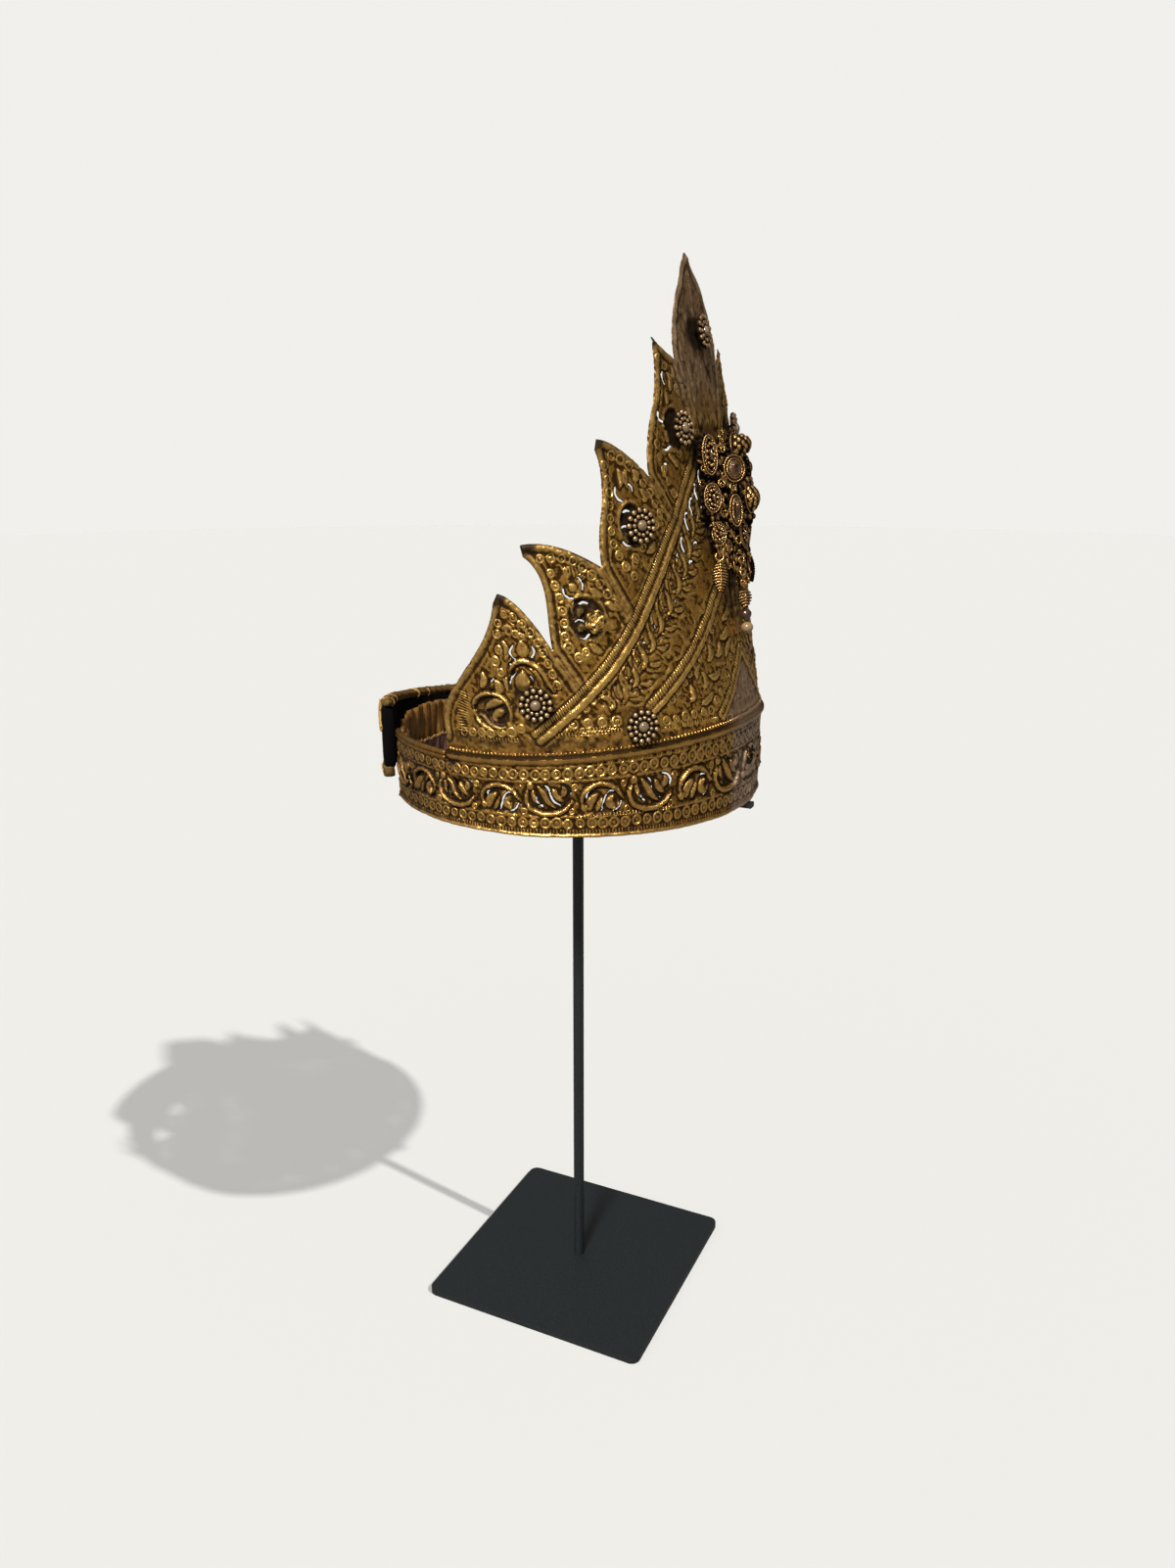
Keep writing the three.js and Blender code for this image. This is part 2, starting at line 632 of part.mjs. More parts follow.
// Pleated lining inside the strap and the band's back ends.
function makeLining() {
  const halfAngle = 82;
  const blank = new THREE.BoxGeometry(2 * halfAngle, 27, LINING_THICKNESS, 2 * PLEATS, 1, 1);
  blank.translate(0, 5 + 27 / 2, 0);
  const pleat = 2 * halfAngle / PLEATS;
  return bendRoundBack(blank, 90.6, (angle, height, out) => {
    const phase = (angle + halfAngle) / pleat;
    const fold = Math.abs(phase - Math.floor(phase) - 0.5) < 0.25 ? PLEAT_DEPTH / 2 : -PLEAT_DEPTH / 2;
    const sag = height > 20 ? 5 * Math.max(0, 1 - Math.abs(angle) / STRAP.halfAngle) : 0;
    return [height - sag, out + fold];
  });
}

// Twisted cord sewn along the strap's top edge and down both ends.
function makeBinding() {
  const radius = 1.5;
  const middle = STRAP_INNER_RADIUS + STRAP_THICKNESS / 2;
  const points = [];
  for (let i = 0; i <= 16; i++) {
    const angle = STRAP.halfAngle * (i / 8 - 1);
    const turn = THREE.MathUtils.degToRad(angle);
    points.push(new THREE.Vector3(
      -middle * Math.sin(turn), middle * Math.cos(turn), BAND_BOTTOM + strapHeight(angle, 1) + radius + GAP));
  }
  const path = new THREE.CatmullRomCurve3(points);
  return new THREE.ExtrudeGeometry(polygon(6, radius), { steps: 24, extrudePath: path, bevelEnabled: false });
}

// ---- The object ----

addPiece("base_plate", makeBasePlate(), metal(COLOURS.blackSteel, 0.6));
addPiece("stand_rod", makeRod(), metal(COLOURS.blackSteel, 0.6));
addPiece("crown_support", makeSupport(), metal(COLOURS.blackSteel, 0.6));
addPiece("headband", makeHeadband(), metal(COLOURS.brass));
addPiece("front_plate", makeFrontPlate(), metal(COLOURS.brass));
addRosettes();
addPiece("spray_frame", makeSprayFrame(), metal(COLOURS.gilt));
addSprayStones();
addDrops();
addWireTies();
addPiece("back_strap", makeStrap(), cloth(COLOURS.velvet));
addPiece("strap_lining", makeLining(), cloth(COLOURS.satin));
addPiece("strap_binding", makeBinding(), cloth(COLOURS.goldCord));

export default crown;
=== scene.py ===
"""Ceremonial crown of chased and pierced brass on its stand: every surface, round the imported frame."""
import math
from functools import partial

import bmesh
import bpy
import numpy as np
from mathutils import Matrix, Vector


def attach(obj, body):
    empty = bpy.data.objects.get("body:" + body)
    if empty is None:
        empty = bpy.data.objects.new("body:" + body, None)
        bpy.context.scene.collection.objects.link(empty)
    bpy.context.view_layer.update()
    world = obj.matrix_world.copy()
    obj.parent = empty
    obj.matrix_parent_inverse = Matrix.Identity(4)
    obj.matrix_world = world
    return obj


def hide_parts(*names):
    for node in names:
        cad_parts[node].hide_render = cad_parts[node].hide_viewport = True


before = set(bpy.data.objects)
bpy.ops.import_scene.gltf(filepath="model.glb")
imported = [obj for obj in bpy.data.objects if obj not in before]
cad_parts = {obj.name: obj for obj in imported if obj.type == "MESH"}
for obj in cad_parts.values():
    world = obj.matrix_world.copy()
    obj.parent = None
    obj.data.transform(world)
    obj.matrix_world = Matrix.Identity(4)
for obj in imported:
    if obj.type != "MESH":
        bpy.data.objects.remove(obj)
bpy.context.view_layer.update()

MM = 0.001  # the tables below are in millimetres

# ---- The crown's wall, as in the part's source ----

BAND_BOTTOM = 299.5
SIDE_RADIUS = 94
FRONT_RADIUS = 93
LEAN_START = 40
FRONT_LEAN = 0.188
SIDE_SPREAD = 0.1
BAND_HEIGHT = 34.5
BAND_RISE = 9.2
BAND_END_ARC = 225
PLATE_END_ARC = 170.5
ROLL_RADIUS = 3
SKIN = 0.3  # the brass's plain outer face lies this far outside the wall's middle
SHEET = 0.5  # thickness of the brass


def wall(arc, rise, out):
    """Points in metres, from arcs round the wall, heights over the band's foot and distances outside."""
    angle = arc / SIDE_RADIUS
    above = np.maximum(0, rise - LEAN_START)
    depth = FRONT_RADIUS - FRONT_LEAN * above
    width = SIDE_RADIUS + SIDE_SPREAD * above
    normal_x, normal_y = depth * np.sin(angle), -width * np.cos(angle)
    size = np.hypot(normal_x, normal_y)
    x = width * np.sin(angle) + out * normal_x / size
    y = -depth * np.cos(angle) + out * normal_y / size
    return np.stack([x, y, BAND_BOTTOM + rise + 0 * x], -1) * MM


def roll_height(arc):
    share = np.minimum(1, np.abs(arc) / PLATE_END_ARC)
    return BAND_HEIGHT + BAND_RISE * (0.5 + 0.5 * np.cos(np.pi * share))


def wall_frame(arc, rise, out):
    """Matrix from a small piece's own millimetres (x along the wall, y up it, z outwards) to its place."""
    here = wall(np.float64(arc), np.float64(rise), out)
    along = Vector(wall(arc + 1.0, rise, out) - wall(arc - 1.0, rise, out)).normalized()
    up = Vector(wall(arc, rise + 1.0, out) - wall(arc, rise, out))
    outward = along.cross(up).normalized()
    up = outward.cross(along)
    turn = Matrix((along, up, outward)).transposed().to_4x4()
    return Matrix.Translation(Vector(here)) @ turn @ Matrix.Scale(MM, 4)


# ---- Drawing on flat sheet ----

def smooth(points, step=0.5):
    """Points close together on a smooth line through a few given ones."""
    given = np.array(points, float)
    if len(given) == 2:
        given = np.stack([given[0], given.mean(0), given[1]])
    ends = np.vstack([2 * given[0] - given[1], given, 2 * given[-1] - given[-2]])
    line = []
    for a, b, c, d in zip(ends, ends[1:], ends[2:], ends[3:]):
        count = max(2, int(np.hypot(*(c - b)) / step))
        t = np.linspace(0, 1, count, endpoint=False)[:, None]
        curve = 2 * b + (c - a) * t + (2 * a - 5 * b + 4 * c - d) * t**2 + (3 * b - a - 3 * c + d) * t**3
        line.append(0.5 * curve)
    return np.vstack([*line, given[-1:]])


def beside(line, distance):
    """The same line moved to its left-hand side."""
    way = np.gradient(line, axis=0)
    way /= np.maximum(1e-9, np.hypot(way[:, 0], way[:, 1]))[:, None]
    return line + distance * np.stack([-way[:, 1], way[:, 0]], -1)


def bezier(points, count):
    t = np.linspace(0, 1, count)[:, None]
    points = [np.array(p, float) for p in points]
    while len(points) > 1:
        points = [a + (b - a) * t for a, b in zip(points, points[1:])]
    return points[0]


def blurred(field, reach):
    """A field averaged over a reach given in cells."""
    half = max(1, int(2.5 * reach))
    kernel = np.exp(-0.5 * (np.arange(-half, half + 1) / reach) ** 2)
    kernel /= kernel.sum()
    for axis in (0, 1):
        pads = [(half, half) if a == axis else (0, 0) for a in (0, 1)]
        padded = np.pad(field, pads, mode="edge")
        field = sum(w * np.take(padded, range(i, i + field.shape[axis]), axis) for i, w in enumerate(kernel))
    return field


CHASED_REACH = 1.5  # how far a chased line is marked to either side of it
DEEP_FURROW = -0.28  # deeper furrows are marked as chased lines too
PETAL_BELLY = 0.45  # share of a petal's length where it is fattest
BAND_TOP = 44  # below this height lies the band
MARKS = ("hollow", "worn", "stain", "ring", "cut", "row", "step", "dull")


def drawn(points):
    """The fine line of a motif: an array is one already, a few points are joined smoothly."""
    return points if isinstance(points, np.ndarray) else smooth(points)


def line_length(line):
    return np.hypot(*np.diff(line, axis=0).T).sum()


def unit(values):
    """Holds values between 0 and 1."""
    return np.clip(values, 0, 1)


def bell(distance, reach):
    """1 at no distance, fading smoothly to nothing at about twice the reach."""
    return np.exp(-((distance / reach) ** 2))


def rounded(across):
    """Height of a half round at a share of the way from its middle to its edge."""
    return np.sqrt(unit(1 - across**2))


def overwrite(window, better, *pairs):
    """Puts new values into fields of a window where they are better."""
    for field, new in pairs:
        field[window][better] = new[better]


class Relief:
    """A flat sheet being chased: the height of its face over arcs (x) and rises (y), all in millimetres."""

    def __init__(self, arcs, rises, cell, seed):
        self.cell = cell
        self.x0, self.y0 = arcs[0], rises[0]
        self.columns, self.rows = (int(round((high - low) / cell)) + 1 for low, high in (arcs, rises))
        x, y = self.x0 + cell * np.arange(self.columns), self.y0 + cell * np.arange(self.rows)
        self.x, self.y = np.meshgrid(x, y)
        self.room = np.full_like(self.x, 99.0)  # distance inside the nearest edge, negative where cut away
        self.pull = np.zeros((*self.x.shape, 2))  # way to that edge
        self.chance = np.random.default_rng(seed)
        # Besides the height, marks that the finish draws finely: stains and painted shadows, ringed scales,
        # chased lines, and rows of beads or cuts with their count.
        self.height, self.stain, self.ring, self.cut, self.row, self.step = np.zeros((6, *self.x.shape))

    def covered(self, window, inside, edge):
        """Wipes the fine marks under a motif and chases a line round its edge, given the distance from it."""
        near_edge = unit(1 - edge / CHASED_REACH)
        self.cut[window] = np.where(inside, near_edge, np.maximum(self.cut[window], near_edge))
        for marks in (self.ring, self.row):
            marks[window][inside] = 0

    def counted(self, window, across, count):
        """Marks a row of beads or cuts: across is the distance from its middle in half widths."""
        share = np.clip(1.3 - across, 0, 1.3)
        overwrite(window, share > self.row[window], (self.row, share), (self.step, count))

    def stained(self, window, amount):
        # darkens towards the stain colour: real stains, and painted shadow and shade
        self.stain[window] = np.maximum(self.stain[window], amount)

    def span(self, start, ends, reach):
        """The cells of a row or column that starts at a place, between two ends and a reach beyond."""
        first, last = (int((v - start) / self.cell) for v in (min(ends) - reach, max(ends) + reach))
        return slice(max(0, first), max(0, last + 2))

    def window(self, low, high, reach):
        return self.span(self.y0, (low[1], high[1]), reach), self.span(self.x0, (low[0], high[0]), reach)

    def near(self, line, reach):
        """Window about a line, and in it the distance, the length along, the foot point and the side."""
        window = self.window(line.min(0), line.max(0), reach)
        x, y = self.x[window], self.y[window]
        apart, along, foot_x, foot_y, side = np.full(x.shape, 1e9), *np.zeros((4, *x.shape))
        run = 0.0
        for a, b in zip(line, line[1:] if x.size else ()):
            part = self.span(y[0, 0], (a[1], b[1]), reach), self.span(x[0, 0], (a[0], b[0]), reach)
            px, py = x[part] - a[0], y[part] - a[1]
            step = b - a
            size = np.hypot(*step)
            if not px.size or size < 1e-9:
                continue
            t = unit((px * step[0] + py * step[1]) / size**2)
            dx, dy = px - t * step[0], py - t * step[1]
            d = np.hypot(dx, dy)
            overwrite(part, d < apart[part], (apart, d), (along, run + t * size),
                      (foot_x, a[0] + t * step[0]), (foot_y, a[1] + t * step[1]),
                      (side, np.sign(step[0] * dy - step[1] * dx)))
            run += size
        return window, apart, along, foot_x, foot_y, side

    # Raised and sunk lines

    def roll(self, points, width, height, ditch=0.35, taper=0.0):
        """A rounded ridge with a chased line on both sides."""
        line = drawn(points)
        window, apart, along, *_ = self.near(line, width / 2 + 1.6)
        half = width / 2
        face = self.height[window] - ditch * bell(apart - half - 0.25, 0.5)
        if taper:
            half = half * unit(np.minimum(along, line_length(line) - along) / taper) ** 0.5
        top = height * rounded(apart / np.maximum(half, 1e-3))
        self.height[window] = np.where(apart < half, np.maximum(face, face * 0.4 + top), face)
        self.covered(window, apart < half, np.abs(apart - half))

    def line(self, points, width, height):
        """A thin raised line, or a furrow where the height is negative."""
        window, apart, *_ = self.near(drawn(points), 2.2 * width)
        self.height[window] += height * bell(apart, 0.6 * width)
        if height < DEEP_FURROW:
            self.cut[window] = np.maximum(self.cut[window], unit(0.95 - apart / CHASED_REACH))

    def beads(self, points, pitch, width, height):
        """A row of punched beads."""
        window, apart, along, *_ = self.near(drawn(points), 1.2 * width)
        grain = 0.5 + 0.5 * np.cos(2 * np.pi * along / pitch)
        self.height[window] += 0.6 * height * bell(apart, 0.5 * width) * (1.3 * grain**0.7 - 0.45)
        self.counted(window, apart / (0.55 * width), along / pitch)

    def hatch(self, points, width, pitch, depth, slant=0.0):
        """Short cuts across a line."""
        window, apart, along, _, _, side = self.near(drawn(points), width)
        phase = 2 * np.pi * (along + slant * apart * side) / pitch
        across = unit(1.4 - 1.4 * (apart / (width / 2)) ** 2)
        self.height[window] -= 0.5 * depth * across * unit(0.5 + 0.5 * np.cos(phase)) ** 1.5
        self.counted(window, apart / (0.45 * width), phase / (2 * np.pi) + 0.5)

    # Motifs

    def local(self, centre, radii, turn, reach):
        """Window about an oval, its own axes scaled by the radii, and the distance in radii."""
        window = self.window(centre, centre, max(radii) * reach + 1.5)
        dx, dy = self.x[window] - centre[0], self.y[window] - centre[1]
        a = math.radians(turn)
        u = (dx * math.cos(a) + dy * math.sin(a)) / radii[0]
        v = (-dx * math.sin(a) + dy * math.cos(a)) / radii[1]
        return window, u, v, np.hypot(u, v)

    def dome(self, centre, radii, height):
        window, _, _, r = self.local(centre, radii, 0, 1.4)
        face = self.height[window] - 0.3 * bell((r - 1.08) * min(radii), 0.45)
        self.height[window] = np.where(r < 1, np.maximum(face, 0.3 * face + height * rounded(r)), face)
        self.covered(window, r < 1, np.abs(r - 1) * min(radii))

    def dish(self, centre, radii, depth, lip, turn=0.0):
        """A sunk oval with a raised lip; what was there is wiped out."""
        window, _, _, r = self.local(centre, radii, turn, 1.5)
        inside = unit((1.0 - r) * min(radii) / 0.9)
        rim = lip * bell((r - 1.08) * min(radii), 0.6)
        self.height[window] = self.height[window] * (1 - inside) - depth * inside + rim
        self.covered(window, r < 1, np.abs(r - 1) * min(radii))

    def scale(self, centre, radius, height):
        """A soft boss punched with a ring and a dot, as one scale of a row."""
        middle = np.array(centre, float) + self.chance.normal(0, 0.15, 2)
        size = radius * (1 + self.chance.normal(0, 0.06))
        window, u, v, r = self.local(middle, (size, size * 1.05), 0, 1.5)
        a = math.radians(self.chance.uniform(0, 360))
        boss = bell(r, 0.9) * (1 + 0.35 * (u * math.cos(a) + v * math.sin(a)))
        self.height[window] += height * (0.34 * boss + 0.42 * bell((r - 0.74) * size, 0.45))
        own = np.clip(1.5 - r, 0, 1.5)
        overwrite(window, own > self.ring[window], (self.ring, own))
        self.cut[window][r < 1] = 0

    def scales(self, points, pitch, radius, height=0.55):
        line = smooth(points)
        run = np.concatenate([[0], np.cumsum(np.hypot(*np.diff(line, axis=0).T))])
        for s in np.linspace(0, run[-1], max(1, int(round(run[-1] / pitch))) + 1):
            self.scale([np.interp(s, run, line[:, axis]) for axis in (0, 1)], radius, height)

    def petal(self, points, width, height, veins=0):
        """A leaf along a line, fattest at its belly, with a sunk midrib or fine veins."""
        line = smooth(points)
        window, apart, along, _, _, side = self.near(line, width / 2 + 1.4)
        t = np.clip(along / line_length(line), 1e-3, 1)
        power = math.log(0.5) / math.log(PETAL_BELLY)
        half = np.maximum(1e-3, width / 2 * np.sin(np.pi * t**power) ** 0.75)
        across = apart / half
        edge = np.abs(apart - half)
        if veins:
            cut = 0.28 * (0.5 + 0.5 * np.cos(across * side * veins * np.pi + 0.5 * t))
        else:
            cut = 0.35 * bell(apart, 0.45)
            edge = np.minimum(edge, apart + 0.25 + np.where((t > 0.12) & (t < 0.88), 0, 9))
        face = self.height[window] - 0.35 * bell(apart - half - 0.25, 0.5)
        body = rounded(across)
        raised = np.maximum(face, 0.3 * face + height * body - cut * body)
        self.height[window] = np.where(across < 1, raised, face)
        self.covered(window, across < 1, edge)

    def fan(self, centre, radii, angles, height, strands):
        """Strands spreading from a point between two angles, in degrees."""
        window, u, v, r = self.local(centre, (1, 1), 0, radii[1])
        middle, spread = (angles[0] + angles[1]) / 2, abs(angles[1] - angles[0]) / 2
        off = (np.degrees(np.arctan2(v, u)) - middle + 180) % 360 - 180
        inside = (np.abs(off) < spread) & (r > radii[0]) & (r < radii[1])
        length = unit((r - radii[0]) / (radii[1] - radii[0]))
        strand = 0.5 + 0.5 * np.cos(np.pi * off / spread * strands + 2.0 * length)
        body = np.sin(np.pi * length**0.7) ** 0.6
        self.height[window] += np.where(inside, height * body * (strand - 0.25), 0)

    def tooled(self, low, high, count, length, height):
        """Short strokes of the chasing tool, scattered over a rectangle."""
        for x, y in self.chance.uniform(low, high, (count, 2)):
            turn = self.chance.normal(1.2, 0.8)
            reach = length * self.chance.uniform(0.5, 1.1)
            bend = self.chance.uniform(-0.5, 0.5)
            way = [(x + reach * t * math.cos(turn + bend * t), y + reach * t * math.sin(turn + bend * t))
                   for t in (-0.5, -0.2, 0.2, 0.5)]
            self.line(np.array(way), self.chance.uniform(0.6, 1.1), height * self.chance.choice((-1, 1)))

    # Cuts, stains and painted shadows, and the hand's unevenness

    def inside(self, outline):
        """Which points lie inside a closed outline."""
        found = np.zeros(self.x.shape, bool)
        for (xa, ya), (xb, yb) in zip(outline, np.roll(outline, -1, 0)):
            if ya == yb:
                continue
            rows = self.span(self.y0, (ya, yb), self.cell)
            x, y = self.x[rows], self.y[rows]
            found[rows] ^= ((ya > y) != (yb > y)) & (x < (xb - xa) * (y - ya) / (yb - ya) + xa)
        return found

    def cut_outline(self, outline):
        """Keeps only what lies inside a closed outline. It comes after the slits."""
        window, apart, _, foot_x, foot_y, _ = self.near(np.vstack([outline, outline[:1]]), 4)
        distance = np.full(self.x.shape, 99.0)
        distance[window] = apart
        room = np.where(self.inside(outline), distance, -distance)
        way = np.zeros_like(self.pull)
        way[window] = np.stack([foot_x - self.x[window], foot_y - self.y[window]], -1)
        overwrite(..., room < self.room, (self.room, room), (self.pull, way))

    def slit(self, points, width, lip, lift=0.55):
        """A thin crescent cut through, its lip raised on one side (1 the left-hand one, -1 the other)."""
        line = smooth(points, 0.3)
        window, apart, along, foot_x, foot_y, side = self.near(line, width / 2 + 2.4)
        t = unit(along / line_length(line))
        half = width / 2 * unit(np.sin(np.pi * np.clip(t, 0.03, 0.97)) * 3.0)
        room = apart - half
        self.height[window] += lift * bell(room - 0.8, 0.8) * (side * lip > 0) * np.sin(np.pi * t)
        self.height[window] -= 0.35 * bell(room, 0.5) * (side * lip < 0)
        way = np.stack([self.x[window] - foot_x, self.y[window] - foot_y], -1)
        way = way / np.maximum(apart, 1e-3)[..., None] * (half - apart)[..., None]
        overwrite(window, room < self.room[window], (self.room, room), (self.pull, way))
        # painted shade: the sheet is darkened round the cut
        self.stained(window, 0.85 * bell(np.maximum(0, room), 0.7))

    def darken(self, centre, radii, amount, soft, turn=0.0):
        window, _, _, r = self.local(centre, radii, turn, 1.0 + 2 * soft)
        self.stained(window, amount * unit((1 + soft / 2 - r) / soft))

    def noise(self, reach, seed):
        """Smooth noise of about one unit, with lumps of a given reach in millimetres."""
        rows, columns = (int(count * self.cell / reach) + 3 for count in (self.rows, self.columns))
        coarse = np.random.default_rng(seed).normal(0, 1, (rows, columns))
        gy, gx = (self.y - self.y0) / reach, (self.x - self.x0) / reach
        j, i = gy.astype(int), gx.astype(int)
        ty, tx = (3 * t**2 - 2 * t**3 for t in (gy - j, gx - i))
        low, high = (coarse[row, i] * (1 - tx) + coarse[row, i + 1] * tx for row in (j, j + 1))
        return low * (1 - ty) + high * ty

    def finish_marks(self):
        """Hollows and worn ridges, from 0 to 1: the hollows darken as patina and as painted shade, the ridges
        are rubbed bright.
        """
        near_level, wide_level = (blurred(self.height, reach / self.cell) for reach in (0.9, 2.6))
        sunk = 0.6 * (near_level - self.height) + 0.4 * (wide_level - self.height)
        return unit(sunk / 0.27 + 0.10), unit(-sunk / 0.30)

    def dull(self, x, y):
        """How dull and grey-brown the brass is painted: within the lowest rib, on the band's front and on the
        spike.
        """
        within_rib = np.where(y > BAND_TOP, 24.5 - 0.966 * (y - 48), 20)
        high = unit((y - 178) / 18) * unit((30 - x) / 8)
        return np.maximum(unit((within_rib - x) / 6 + 0.5), 0.8 * high)


def settle(bm, places, names, marks):
    """Moves a mesh's points to their places and gives each its marks."""
    layers = [bm.verts.layers.float.get(n) or bm.verts.layers.float.new(n) for n in names]
    places, marks = places.reshape(-1, 3).tolist(), marks.reshape(-1, len(names)).tolist()
    for vert, point, mark in zip(bm.verts, places, marks):
        vert.co = point
        for layer, value in zip(layers, mark):
            vert[layer] = value


def beside_cells(cells):
    """Cells that hold or touch a marked one."""
    return np.logical_or.reduce([np.roll(cells, (j, i), (0, 1)) for j in (-1, 0, 1) for i in (-1, 0, 1)])


def sheet_pieces(names, relief, stretch=None):
    """The chased sheet bent to the wall: one piece for the near side, and one turned over for the far side.

    The mesh is twice as coarse as the relief, except along edges and slits, where it follows them.
    """
    room = relief.room
    flat = bmesh.new()
    wide, high = (relief.columns - 1) // 2, (relief.rows - 1) // 2
    bmesh.ops.create_grid(flat, x_segments=wide, y_segments=high, size=1.0)
    to_cells = Matrix.Diagonal((wide, high, 1, 1)) @ Matrix.Translation((1, 1, 0))
    bmesh.ops.transform(flat, matrix=to_cells, verts=flat.verts)
    corners = [room[j : 2 * high + j : 2, i : 2 * wide + i : 2] for j in (0, 1, 2) for i in (0, 1, 2)]
    most, least = np.maximum.reduce(corners).ravel(), np.minimum.reduce(corners).ravel()
    faces = list(flat.faces)
    cut = [f for f, m, n in zip(faces, most, least) if m > -0.5 and n < 0.75]
    bmesh.ops.delete(flat, geom=[f for f, m in zip(faces, most) if m <= -0.5], context="FACES")
    bmesh.ops.subdivide_edges(flat, edges=list({e for f in cut for e in f.edges}), cuts=1, use_grid_fill=True)
    bmesh.ops.triangulate(flat, faces=[f for f in flat.faces if len(f.verts) > 4])
    spots = np.array([v.co[:2] for v in flat.verts]).round().astype(int)
    at = (spots[:, 1], spots[:, 0])
    inner = room > 0.3 * relief.cell
    usable = beside_cells(inner)
    shift = np.where((~inner & usable)[at][:, None], relief.pull[at], 0)
    x, y = relief.x[at] + shift[:, 0], relief.y[at] + shift[:, 1]
    flat.verts.index_update()
    usable, plain = usable[at], (room[at] >= relief.cell).tolist()

    def outside(held):
        """Whether a face has an unusable corner, or its middle lies outside the edge."""
        if all(plain[i] for i in held):
            return False
        if not usable[held].all():
            return True
        i, j = (x[held].mean() - relief.x0) / relief.cell, (y[held].mean() - relief.y0) / relief.cell
        i0, j0 = min(int(i), relief.columns - 2), min(int(j), relief.rows - 2)
        low, top = (room[row, i0] * (1 - i + i0) + room[row, i0 + 1] * (i - i0) for row in (j0, j0 + 1))
        return low * (1 - j + j0) + top * (j - j0) <= 0

    gone = [face for face in flat.faces if outside([v.index for v in face.verts])]
    fields = (*relief.finish_marks(), relief.stain, relief.ring, relief.cut, relief.row, relief.step)
    marks = np.stack([*(field[at] for field in fields), relief.dull(x, y)], -1)
    rise = y if stretch is None else y * stretch(x)
    made = []
    for name, sign in zip(names, (-1, 1)):
        settle(flat, wall(sign * x, rise, SKIN + relief.height[at]), MARKS, marks)
        flat.faces.index_update()
        bm = flat.copy()
        bm.faces.ensure_lookup_table()
        bmesh.ops.delete(bm, geom=[bm.faces[f.index] for f in gone], context="FACES")
        bmesh.ops.remove_doubles(bm, verts=bm.verts, dist=0.02 * MM)
        if sign < 0:
            bmesh.ops.reverse_faces(bm, faces=bm.faces)
        made.append((name, bm))
    flat.free()
    return made


# ---- The front plate ----

# Leaves from the temple to the spike, as in the part: outer edge by four points, back edge by three,
# and the root where the border between two leaves meets the outer rib.
LEAVES = [
    dict(outer=[(170.5, 43), (179, 64), (142, 79), (137.6, 107.4)],
         back=[(135.4, 109.6), (124.5, 108.5), (111, 85.5)],
         root=(101, 69)),
    dict(outer=[(111, 85.5), (113, 101), (107, 118), (121.4, 126)],
         back=[(121.2, 130.2), (104, 133.5), (83.2, 120.5)],
         root=(72, 97)),
    dict(outer=[(83.2, 120.5), (84.5, 140), (73, 150), (79.2, 170)],
         back=[(77.4, 172.6), (67, 172.3), (51.5, 157)],
         root=(41, 139)),
    dict(outer=[(51.5, 157), (54, 174), (36, 190), (37, 214.6)],
         back=[(37, 214.6), (33, 210.7), (22.9, 206)],
         root=(14, 176)),
]
SPIKE = [(22.9, 206), (24, 224), (11, 240), (0.6, 252.5)]
RIB_1 = [(122, 46), (97.5, 66.3), (75.7, 88.2), (47.6, 126.6), (29, 151), (17, 167)]
RIB_2 = [(68, 57.5), (46.4, 74.6), (29.6, 90.3), (14.3, 106.3), (0, 122)]
RIB_3 = [(28, 48.5), (14, 61), (0, 77)]

# Slits, upright crescents first: the points of each and the side of its raised lip.
LEAF_SLITS = [
    ([(129.4, 88), (131.5, 84.6), (130.4, 82), (127.8, 80.4)], -1),
    ([(121, 87.6), (119.6, 85), (121.7, 81.6)], 1), ([(132.6, 78.6), (130.6, 79.7)], 1),
    ([(123, 74.4), (121.8, 71.6), (123.6, 68.4)], 1),
    ([(129, 75.8), (131.8, 73.2), (132.9, 70.6), (132.4, 68.4)], -1),
    ([(141, 72.2), (143.5, 70), (143.6, 67.4), (142.2, 65.2)], -1),
    ([(152.8, 54), (152.4, 51.4), (150.2, 50)], -1),
    ([(152.4, 57.4), (148.6, 57.6), (145.8, 55.2), (143.6, 52.4), (140, 51), (137, 51.6)], -1),
    ([(102.6, 113), (102.6, 110.2), (100.8, 108.2), (98, 107.8)], 1),
    ([(95.4, 117), (93.4, 114.4), (93.6, 111)], 1), ([(96, 105.2), (93.8, 106), (91.4, 105.2)], 1),
    ([(99.2, 97.2), (97, 98.4), (94.4, 97.6)], -1),
    ([(99.8, 93.2), (98, 91.2), (95.2, 90.7), (92.2, 92.6)], 1),
    ([(70.2, 153.6), (71.2, 150.8), (70.2, 148.4), (67.6, 147.2)], -1),
    ([(63.8, 154.6), (62, 153), (61.8, 151)], 1), ([(68, 142.6), (66.4, 143.4), (64, 143.2)], 1),
    ([(70, 136.3), (68.4, 137), (66.2, 136.7)], -1), ([(71, 131), (69.4, 129.2), (66.8, 129)], 1),
    ([(32.4, 201), (34, 198.6), (32.2, 194.8)], -1), ([(39.8, 184.4), (39.6, 181), (36.6, 179)], -1),
    ([(40.8, 169.4), (38.2, 168), (34.8, 170.2)], 1), ([(41, 162), (38.8, 162.4)], 1),
]
# The strip between the two outer ribs: middles of the upright slits, from the foot up.
STRIP = [(84, 67.5), (78, 74), (72.3, 82), (67, 89), (61, 97), (54.5, 104.5), (47.4, 113.4), (41.6, 120),
         (36.4, 128), (31.4, 137.4), (26.4, 143.6), (21.4, 150), (17, 156)]
UNPIERCED = (1, 2)  # of the lying slits beside them
STRIP_NARROWS = 25  # within this arc there is no room for the lying slits

